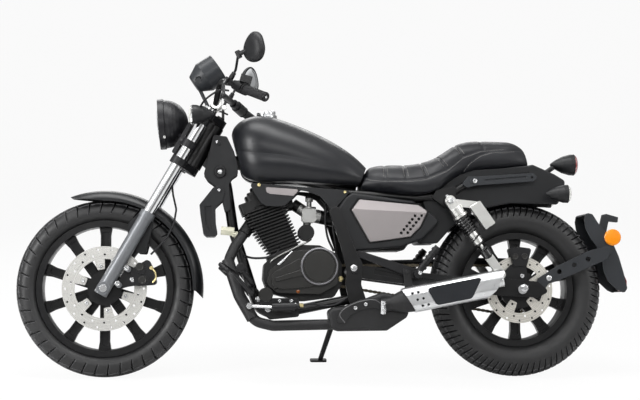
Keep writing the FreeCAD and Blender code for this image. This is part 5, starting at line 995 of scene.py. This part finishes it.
class MOTO_OT_grips(bpy.types.Operator):
    """Ribbed rubber grips with plain end rings and dark end weights with a bright screw"""
    bl_idname = "motorcycle.grips"
    bl_label = "Grips"

    def execute(self, context):
        grips, weights, screws = [], [], []
        for side in (-1, 1):
            start, end = (on_fork(up, ahead, side * out) for up, ahead, out in (GRIP_FROM, GRIP_TO))
            length = np.linalg.norm(end - start) / MM
            along = np.linspace(9, length - 6, 150)
            radius = 15.6 + 0.9 * (np.sin(along * 2 * np.pi / 7.0) > -0.2)
            body = [(4, 11.3), (4, 21), (8.5, 21.2), (9, 17)] + list(zip(along, radius))
            body += [(length - 5, 17.0), (length - 1, 17.0), (length, 15.5), (length, 11.3)]
            grips.append(turned(body, start, end - start, 40))
            weights.append(turned(WEIGHT + (length, 0.0), start, end - start, 32))
            screws.append(turned(SCREW + (length, 0.0), start, end - start, 6))
        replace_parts(piece("ribbed_grips", grips, "soft rubber", "fork"), "grips")
        piece("bar_end_weights", weights, "die-cast black", "fork")
        piece("bar_end_screws", screws, "bright zinc", "fork")
        return {"FINISHED"}


MIRROR_CENTRE = (964.5, -42.6, 390.0)
MIRROR_TURN = math.radians(125.0)
MIRROR_OUTLINE = ((4, 53), (33, 38), (49, 8), (53, -15), (42, -38), (6, -51), (-32, -42), (-52, -20),
                  (-53, 2), (-41, 27), (-20, 46))
GLASS_SHARE = 0.88          # of the head's outline
# the glass's rings: share of its outline, mm out of the head's middle
GLASS_RINGS = ((0.0, 8.0), (1.0, 8.0), (1.0, 9.4), (0.98, 9.9), (0.5, 10.0), (0.0, 10.0))


class MOTO_OT_mirrors(bpy.types.Operator):
    """Silvered glass set in the rear face of each mirror head"""
    bl_idname = "motorcycle.mirrors"
    bl_label = "Mirror glass"

    def execute(self, context):
        ring = np.array(MIRROR_OUTLINE + MIRROR_OUTLINE[:1], float)
        x, z = smooth_path(np.concatenate([ring[-2:-1], ring, ring[1:2]]), 78)[6:-6].T * GLASS_SHARE
        shapes = []
        for side in (-1, 1):
            centre = on_fork(MIRROR_CENTRE[0], MIRROR_CENTRE[1], side * MIRROR_CENTRE[2])
            along = math.cos(MIRROR_TURN) * AHEAD + side * math.sin(MIRROR_TURN) * LEFT
            face = -math.sin(MIRROR_TURN) * AHEAD + side * math.cos(MIRROR_TURN) * LEFT
            rings = [centre + MM * (share * x[:, None] * along + share * z[:, None] * UP + depth * face)
                     for share, depth in GLASS_RINGS]
            faces = grid_faces(len(rings), len(x), False, True)
            shapes.append((np.concatenate(rings), faces if side < 0 else faces[:, ::-1]))
        piece("mirror_glass", shapes, "mirror silver", "fork")
        return {"FINISHED"}


# ---- bolts and fittings ----------------------------------------------------
# (style, ahead of the pivot, up, out from the middle, radius, on the right side too), in mm
ZINC_BOLTS = (
    ("hex", -603, 317.7, 159, 10.0, False), ("hex", -340, 626, 172, 8.0, True),
    ("hex", 341, 278.7, 138, 6.5, False), ("hex", 305.6, 243.6, 138, 8.5, False),
    ("hex", 4.3, 387.5, 165, 9, True), ("cap", 265, 272, 143, 6.0, False),
    ("cap", 224, 272, 143, 6.0, False), ("cap", -226.8, 369.8, 184, 7, True),
    ("cap", -433.8, 699.9, 127, 8, True), ("cap", 4, 247, 214, 6.5, False),
    ("cap", -32, 260, 214, 6.5, False), ("cap", -604.6, 361.2, 106.8, 7.5, False),
    ("hex", -702.4, 354.1, 107, 7.5, False), ("cap", 479.5, 668.4, 57, 5.5, True),
    ("cap", 487.4, 841.9, 49, 5.5, True), ("cap", -333.9, 646.3, 118, 5.0, True),
)
FORK_BOLTS = (
    ("cap", 803.2, 387.6, 107, 9.5, False), ("cap", 834.2, 333.1, 107, 9.5, False),
    ("cap", 783.0, 347.0, 85.8, 8.5, False),
)
BRASS_BOLTS = (
    ("hex", 44.4, 350.0, 92, 7.5, False), ("cap", 338.1, 681.9, 123, 6.0, True),
    ("cap", 32.3, 658.5, 123, 5.0, True),
)
# (from, to, radius, sides), each end as (ahead of the pivot, up, out), in mm
ZINC_RODS = (
    ((362, 253.7, 172), (293, 250.2, 172), 5.6, 24),    # push rod of the rear master cylinder
    ((372, 254, 184), (372, 254, 184.6), 11.0, 24),     # bright face of its clevis
    ((281, 262.5, 148), (206, 262.5, 148), 2.6, 24),    # thin rod along its top
    ((219, 447, 97), (249, 418, 124), 4.0, 24),         # thin and thick half of an arm beside the barrel
    ((249, 418, 124), (270, 399, 124), 5.5, 24),
    ((-92, 272, 239), (-92, 226, 231), 9.0, 4),         # block of the silencer's clamp
)
WIRING_JOINT = (((472, 524, 40), (424, 520, 40), 15.0, 4), ((430, 512, 44), (412, 508, 44), 11.0, 4))
BOX_RIB = ((40, 196), (58, 224), (34, 250), (-14, 270), (-60, 276), (-88, 262))
LOCK = (476.2, 733.8, 49)
# routes of the hoses and cables over the engine, as (ahead of the pivot, up, out)
BRAID_ROUTE = ((150, 492, 60), (168, 480, 90), (200, 465, 98), (240, 445, 98), (272, 428, 98), (292, 414, 94),
               (302, 400, 80))
HOSE_ROUTES = (
    ((388, 436, 22), (372, 428, 50), (345, 424, 72), (305, 427, 84), (275, 440, 84), (262, 462, 60)),
    ((60, 612, 30), (66, 590, 44), (70, 540, 50), (62, 480, 60), (60, 430, 80)),
    ((110, 640, 20), (96, 612, 50), (98, 560, 58), (90, 500, 62), (70, 450, 84)),
    ((183, 257, 172), (150, 262, 164), (110, 254, 150), (60, 262, 150), (10, 300, 150), (-20, 340, 148)),
)
UNION_ROUTE = ((716, 388, 99), (704, 374, 102), (700, 352, 101), (712, 336, 98))


def bolt(style, centre, direction, radius):
    """A hexagon head on its washer, or a round head with a well: profiles turned with 6 or 24 sides."""
    if style == "hex":
        washer = [(-2, 0), (-2, 1.3 * radius), (1.2, 1.3 * radius), (1.6, 1.2 * radius), (1.6, 0)]
        head = [(1, 0), (1, radius), (0.6 * radius + 1, radius), (0.7 * radius + 1, 0.85 * radius),
                (0.7 * radius + 1, 0)]
        return [turned(washer, centre, direction, 24), turned(head, centre, direction, 6)]
    tall = 0.7 * radius
    head = [(-2, 0), (-2, radius), (tall - 0.8, radius), (tall, radius - 0.8), (tall, 0.5 * radius),
            (0.3 * tall, 0.46 * radius), (0.3 * tall, 0)]
    return [turned(head, centre, direction, 24)]


def rods(rows):
    """Every rod of a table."""
    return [bar(on_frame(*start), on_frame(*end), radius, sides) for start, end, radius, sides in rows]


def hose(place, route, radius, count=60):
    """A round tube along the smooth curve through a route's places."""
    return swept(smooth_path([place(*knot) for knot in route], count), radius, 12, UP)


def bolts(rows):
    """Every bolt of a table, on the left and, where it says so, on the right."""
    shapes = []
    for style, ahead, up, out, radius, paired in rows:
        for side in (1, -1) if paired else (1,):
            shapes += bolt(style, on_frame(ahead, up, side * out), side * LEFT, radius)
    return shapes


class MOTO_OT_fittings(bpy.types.Operator):
    """Bolts, unions, rods and washers, each in its own metal"""
    bl_idname = "motorcycle.fittings"
    bl_label = "Bolts and fittings"

    def execute(self, context):
        zinc = bolts(ZINC_BOLTS) + rods(ZINC_RODS)
        for up, out in ((263, 245), (240, 242)):
            zinc += bolt("cap", on_frame(-93, up, out), LEFT, 5.5)
        piece("zinc_bolts", zinc, "bright zinc", "chassis")
        piece("fork_bolts", bolts(FORK_BOLTS), "bright zinc", "fork")
        # dark discs at the bottom of the silencer's holes: painted shade where the holes lie in shadow
        places = [(-191 - 18 * row - 20.5 * column, 297 - 21 * row + 4.5 * column)
                  for row in range(3) for column in range(2)]
        hole_shade_discs = rods([((*place, 249), (*place, 251.5), 4.7, 24) for place in places])
        piece("silencer_hole_shade", hole_shade_discs, "soft rubber", "chassis")
        # a grey bar along the exhaust box's rib: painted highlight
        rim = smooth_path([on_frame(ahead, up, 208.6) for ahead, up in BOX_RIB], 60)
        piece("box_rib_highlight", [swept(rim, 1.8, 10, LEFT)], "rib edge painted highlight", "chassis")
        self.carrier_bolts()
        self.calipers()
        brass = bolts(BRASS_BOLTS) + rods([((200, 256, 172), (183, 256, 172), 8.0, 6)])
        piece("brass_bolts", brass, "worn brass", "chassis")
        piece("cover_ribs", [self.rib(side) for side in (1, -1)], "cover paint", "chassis")
        lock = [(-2, 0), (-2, 22), (8, 22), (11, 19), (11, 15), (6, 13), (6, 0)]
        lock = [turned(lock, on_frame(*LOCK), LEFT, 40)]
        piece("lock_housing", lock, "die-cast black", "chassis")
        key = [(5, 0), (5, 8), (8.4, 8), (9, 7), (9, 2), (7.4, 1.6), (7.4, 0)]
        key = [turned(key, on_frame(*LOCK), LEFT, 24)]
        piece("lock_barrel", key, "bright zinc", "chassis")
        self.engine_details()
        piece("wiring_joint", rods(WIRING_JOINT), "natural nylon", "chassis")
        clamps = [bar(on_fork(772, -6, side * 40 - 16), on_fork(772, -6, side * 40 + 16), 20.6, 32)
                  for side in (-1, 1)]
        clamps.append(bar(on_fork(776, -38, 22), on_fork(776, -38, 34), 9.0))
        studs = bolt("cap", on_fork(572, 89, 73.7), 0.82 * LEFT - 0.57 * UP, 5.0)
        piece("bar_clamps", clamps + studs, "machined aluminium", "fork")
        return {"FINISHED"}

    def engine_details(self):
        """The covers' chamfered edges, light grey as a painted highlight, and the oil window."""
        ring = [(-3, 61), (-3, 66.6), (0.2, 66.6), (1.2, 64), (1.2, 61), (-3, 61)]
        # a light grey ring on each cover's chamfer: painted highlight
        edges = [turned(ring, on_frame(124, 394, side * 141.2), side * LEFT, 96) for side in (1, -1)]
        piece("cover_edge_highlights", edges, "cover edge painted highlight", "chassis")
        pane = [(-1, 0), (-1, 6.5), (1.4, 6.5), (2, 5), (2, 0)]
        window = turned(pane, on_frame(199, 305.2, 118), LEFT, 32)
        piece("oil_window", [window], "oil window", "chassis")

    def carrier_bolts(self):
        """The six bright bolts that hold the front disc's tabs, 80 mm from its axle."""
        heads = []
        for i in range(6):
            turn = math.radians(10.0 + 60.0 * i)
            spoke = math.sin(turn) * AHEAD + math.cos(turn) * UP
            centre = FRONT_AXLE + MM * (80.0 * spoke + 61.3 * LEFT)
            heads += bolt("cap", centre, LEFT, 6.5)
        piece("disc_bolts", heads, "bright zinc", "front_wheel")

    def calipers(self):
        """Piston caps, each a round plug with a dished face, and the front one's brass union and pipe."""
        plug = [(-2, 0), (-2, 1.0), (3.0, 1.0), (4.2, 0.93), (4.2, 0.74), (2.6, 0.66), (2.6, 0)]

        def cap(centre, radius):
            return turned([(x, r * radius) for x, r in plug], centre, LEFT, 40)

        front = [cap(on_frame(757, 392, 99.8), 15.0), cap(on_frame(747, 346, 99.8), 15.0)]
        piece("front_piston_caps", front, "cover paint", "fork")
        union = rods([((716, 388, 92), (716, 388, 104), 7.5, 6)]) + [hose(on_frame, UNION_ROUTE, 3.0, 24)]
        piece("front_union", union, "worn brass", "fork")
        rear = [cap(on_frame(-579, 430, 113.7), 11.5), cap(on_frame(-613, 431, 113.8), 11.5)]
        piece("rear_piston_caps", rear, "cover paint", "chassis")

    def rib(self, side):
        """The starter drive's swelling: half a drop that falls to nothing at its round cover."""
        t = np.linspace(0, 1, 30)[:, None]
        width = 13.5 * np.sqrt(np.clip(1 - (2 * t - 0.22) ** 2 / 1.49, 0, 1)) * (1 - 0.5 * t)
        angle = np.linspace(0, np.pi, 13)
        run = np.array([136.0, 62.0])
        along = run / np.linalg.norm(run)
        at = np.array([286.0, 322.0]) + t * (run * (-1, 1))
        sway = width * np.cos(angle)
        ahead = at[:, :1] + sway * along[1]
        up = at[:, 1:] + sway * along[0]
        out = 117.0 + (6.0 + 20.0 * t) * (width > 0) * np.sin(angle) * np.sqrt(width / 14.0)
        faces = grid_faces(30, 13, False, False)
        return on_frame(ahead, up, side * out), faces if side < 0 else faces[:, ::-1]


# ---- hoses and cables that run from one part to another ---------------------
class MOTO_OT_cables(bpy.types.Operator):
    """Short hoses and cables, each a round tube along a smooth curve between two parts"""
    bl_idname = "motorcycle.cables"
    bl_label = "Hoses and cables"

    def execute(self, context):
        piece("braided_cable", [hose(on_frame, BRAID_ROUTE, 3.4)], "wire braid", "chassis")
        hoses = [hose(on_frame, route, 4.0) for route in HOSE_ROUTES]
        piece("frame_hoses", hoses, "soft rubber", "chassis")
        cables = []
        for side, more in ((1, 0), (-1, 4)):
            route = ((800, -40, 330), (790, -10, 290), (748 + more, 22, 200), (704 + more, 30, 120),
                     (680 + more, 28, 70), (650, 40, 40))
            cables.append(hose(on_fork, [(up, ahead, side * out) for up, ahead, out in route], 3.4))
        piece("bar_cables", cables, "soft rubber", "fork")
        return {"FINISHED"}


# ---- camera, light and floor -----------------------------------------------
CAMERA_AT = (1073.0, 5490.0, 261.0)
CAMERA_YAW = math.radians(3.78)     # it looks back of straight across
CAMERA_PITCH = math.radians(3.92)   # it looks up, in the upright machine
LENS_MM = 85.4
LAMP_AIM = (0.0, 0.0, 0.55)
# name, place and size in metres, watts
LAMPS = (
    ("softbox_top", (0.3, 0.5, 3.4), (3.2, 1.2), 100.0),
    ("softbox_side", (0.3, 3.6, 2.3), (2.6, 0.6), 36.0),
    ("softbox_front", (3.4, 2.0, 1.7), (1.0, 2.2), 125.0),
    ("softbox_rear", (-3.4, 2.2, 1.8), (1.0, 2.2), 45.0),
    ("softbox_back", (0.0, -3.2, 2.6), (3.0, 1.0), 50.0),
)
WHITE = (1.0, 1.0, 1.0, 1.0)


def seen_directly(tree):
    """1 for what the camera sees itself or through glass, else 0; and whether a ray is glossy."""
    rays = add(tree, "ShaderNodeLightPath").outputs
    return (arithmetic(tree, "MAXIMUM", rays["Is Camera Ray"], rays["Is Transmission Ray"]),
            rays["Is Glossy Ray"])


class MOTO_OT_stage(bpy.types.Operator):
    """Camera, soft studio lamps and the pale floor"""
    bl_idname = "motorcycle.stage"
    bl_label = "Stage"

    def execute(self, context):
        scene = context.scene
        scene.view_settings.view_transform = "Standard"
        self.camera(scene)
        self.lamps(scene)
        self.floor()
        self.world(scene)
        return {"FINISHED"}

    def camera(self, scene):
        """A long lens far to the left and low down, set by its own right, up and backward axes."""
        right = -math.cos(CAMERA_YAW) * AHEAD + math.sin(CAMERA_YAW) * LEFT
        level = -math.sin(CAMERA_YAW) * AHEAD - math.cos(CAMERA_YAW) * LEFT
        ahead = math.cos(CAMERA_PITCH) * level + math.sin(CAMERA_PITCH) * UP
        data = bpy.data.cameras.new("camera")
        data.sensor_width = 36.0
        data.lens = LENS_MM
        camera = bpy.data.objects.new("camera", data)
        scene.collection.objects.link(camera)
        matrix = np.eye(4)
        matrix[:3, 0], matrix[:3, 1], matrix[:3, 2] = right, np.cross(right, ahead), -ahead
        matrix[:3, 3] = on_machine(*CAMERA_AT)
        camera.matrix_world = Matrix(matrix.tolist())
        scene.camera = camera

    def lamps(self, scene):
        """Rectangular lamps turned towards the middle of the machine."""
        for name, place, size, watts in LAMPS:
            data = bpy.data.lights.new(name, "AREA")
            data.shape = "RECTANGLE"
            data.size, data.size_y = size
            data.energy = watts
            lamp = bpy.data.objects.new(name, data)
            scene.collection.objects.link(lamp)
            lamp.location = place
            lamp.rotation_euler = (Vector(LAMP_AIM) - Vector(place)).to_track_quat("-Z", "Y").to_euler()

    def floor(self):
        """A sheet of paper that curves up behind: flat, then a quarter of a circle, then upright."""
        t = np.linspace(0, 1, 40)
        bend = np.clip((t - 0.45) / 0.25, 0, 1) * np.pi / 2
        y = np.where(t < 0.45, 8 - t / 0.45 * 14, -6 - 3 * np.sin(bend))
        z = np.where(t < 0.45, 0.0, 3 * (1 - np.cos(bend)) + np.clip(t - 0.7, 0, 1) * 30)
        x = np.linspace(-14, 14, 8)
        points = np.stack(np.broadcast_arrays(x, y[:, None], z[:, None]), axis=-1)
        mesh = bpy.data.meshes.new("floor")
        mesh.from_pydata(points.reshape(-1, 3).tolist(), [], grid_faces(40, 8, False, False).tolist())
        smoothed(mesh)
        tree = blank("backdrop paper")[0]
        paper = add(tree, "ShaderNodeBsdfDiffuse", {"Color": linear("#E9E9E9")}).outputs["BSDF"]
        glow = add(tree, "ShaderNodeEmission", {"Color": WHITE, "Strength": 1.0}).outputs["Emission"]
        share = arithmetic(tree, "MULTIPLY", seen_directly(tree)[0], 0.93)
        covered(tree, add(tree, "ShaderNodeMixShader", {"Fac": share, 1: paper, 2: glow}).outputs["Shader"])
        mesh.materials.append(bpy.data.materials["backdrop paper"])
        floor = bpy.data.objects.new("floor", mesh)
        bpy.context.collection.objects.link(floor)

    def world(self, scene):
        """White to the camera and through glass; reflections see walls that lighten towards the ceiling."""
        world = bpy.data.worlds.new("studio")
        world.use_nodes = True
        tree = world.node_tree
        tree.nodes.clear()
        seen, glossy = seen_directly(tree)
        way = add(tree, "ShaderNodeTexCoord").outputs["Generated"]
        height = add(tree, "ShaderNodeSeparateXYZ", {"Vector": way}).outputs["Z"]
        walls = ranged(tree, height, 0.22, 1.05, 0.0, 0.45)
        strength = add(tree, "ShaderNodeMix", {"Factor": glossy, 2: 0.27, 3: walls}).outputs[0]
        room, white = (add(tree, "ShaderNodeBackground", {"Color": WHITE, "Strength": value}).outputs[0]
                       for value in (strength, 1.0))
        mix = add(tree, "ShaderNodeMixShader", {"Fac": seen, 1: room, 2: white}).outputs["Shader"]
        add(tree, "ShaderNodeOutputWorld", {"Surface": mix})
        scene.world = world


class MOTO_PT_panel(bpy.types.Panel):
    """Lists the steps of the dressing"""
    bl_label = "Motorcycle"
    bl_idname = "MOTO_PT_panel"
    bl_space_type = "VIEW_3D"
    bl_region_type = "UI"
    bl_category = "Motorcycle"

    def draw(self, context):
        for group in (context.scene.cruiser_finish, context.scene.cruiser_sizes):
            for name in group.__annotations__:
                self.layout.prop(group, name)
        for step in STEPS:
            self.layout.operator(step.bl_idname)


STEPS = (MOTO_OT_stage, MOTO_OT_finishes, MOTO_OT_tyres, MOTO_OT_seat, MOTO_OT_stitching, MOTO_OT_springs,
         MOTO_OT_chain, MOTO_OT_lenses, MOTO_OT_grips, MOTO_OT_mirrors, MOTO_OT_fittings, MOTO_OT_cables)
CLASSES = (CruiserFinish, CruiserSizes, *STEPS, MOTO_PT_panel)


def register():
    """Register the classes and hang the settings on the scene."""
    for each in CLASSES:
        bpy.utils.register_class(each)
    bpy.types.Scene.cruiser_finish = bpy.props.PointerProperty(type=CruiserFinish)
    bpy.types.Scene.cruiser_sizes = bpy.props.PointerProperty(type=CruiserSizes)


def unregister():
    """Take back what register did."""
    del bpy.types.Scene.cruiser_sizes
    del bpy.types.Scene.cruiser_finish
    for each in reversed(CLASSES):
        bpy.utils.unregister_class(each)


def main():
    """Dress the frame step by step."""
    register()
    for step in STEPS:
        group, name = step.bl_idname.split(".")
        getattr(getattr(bpy.ops, group), name)()


if __name__ == "__main__":
    main()
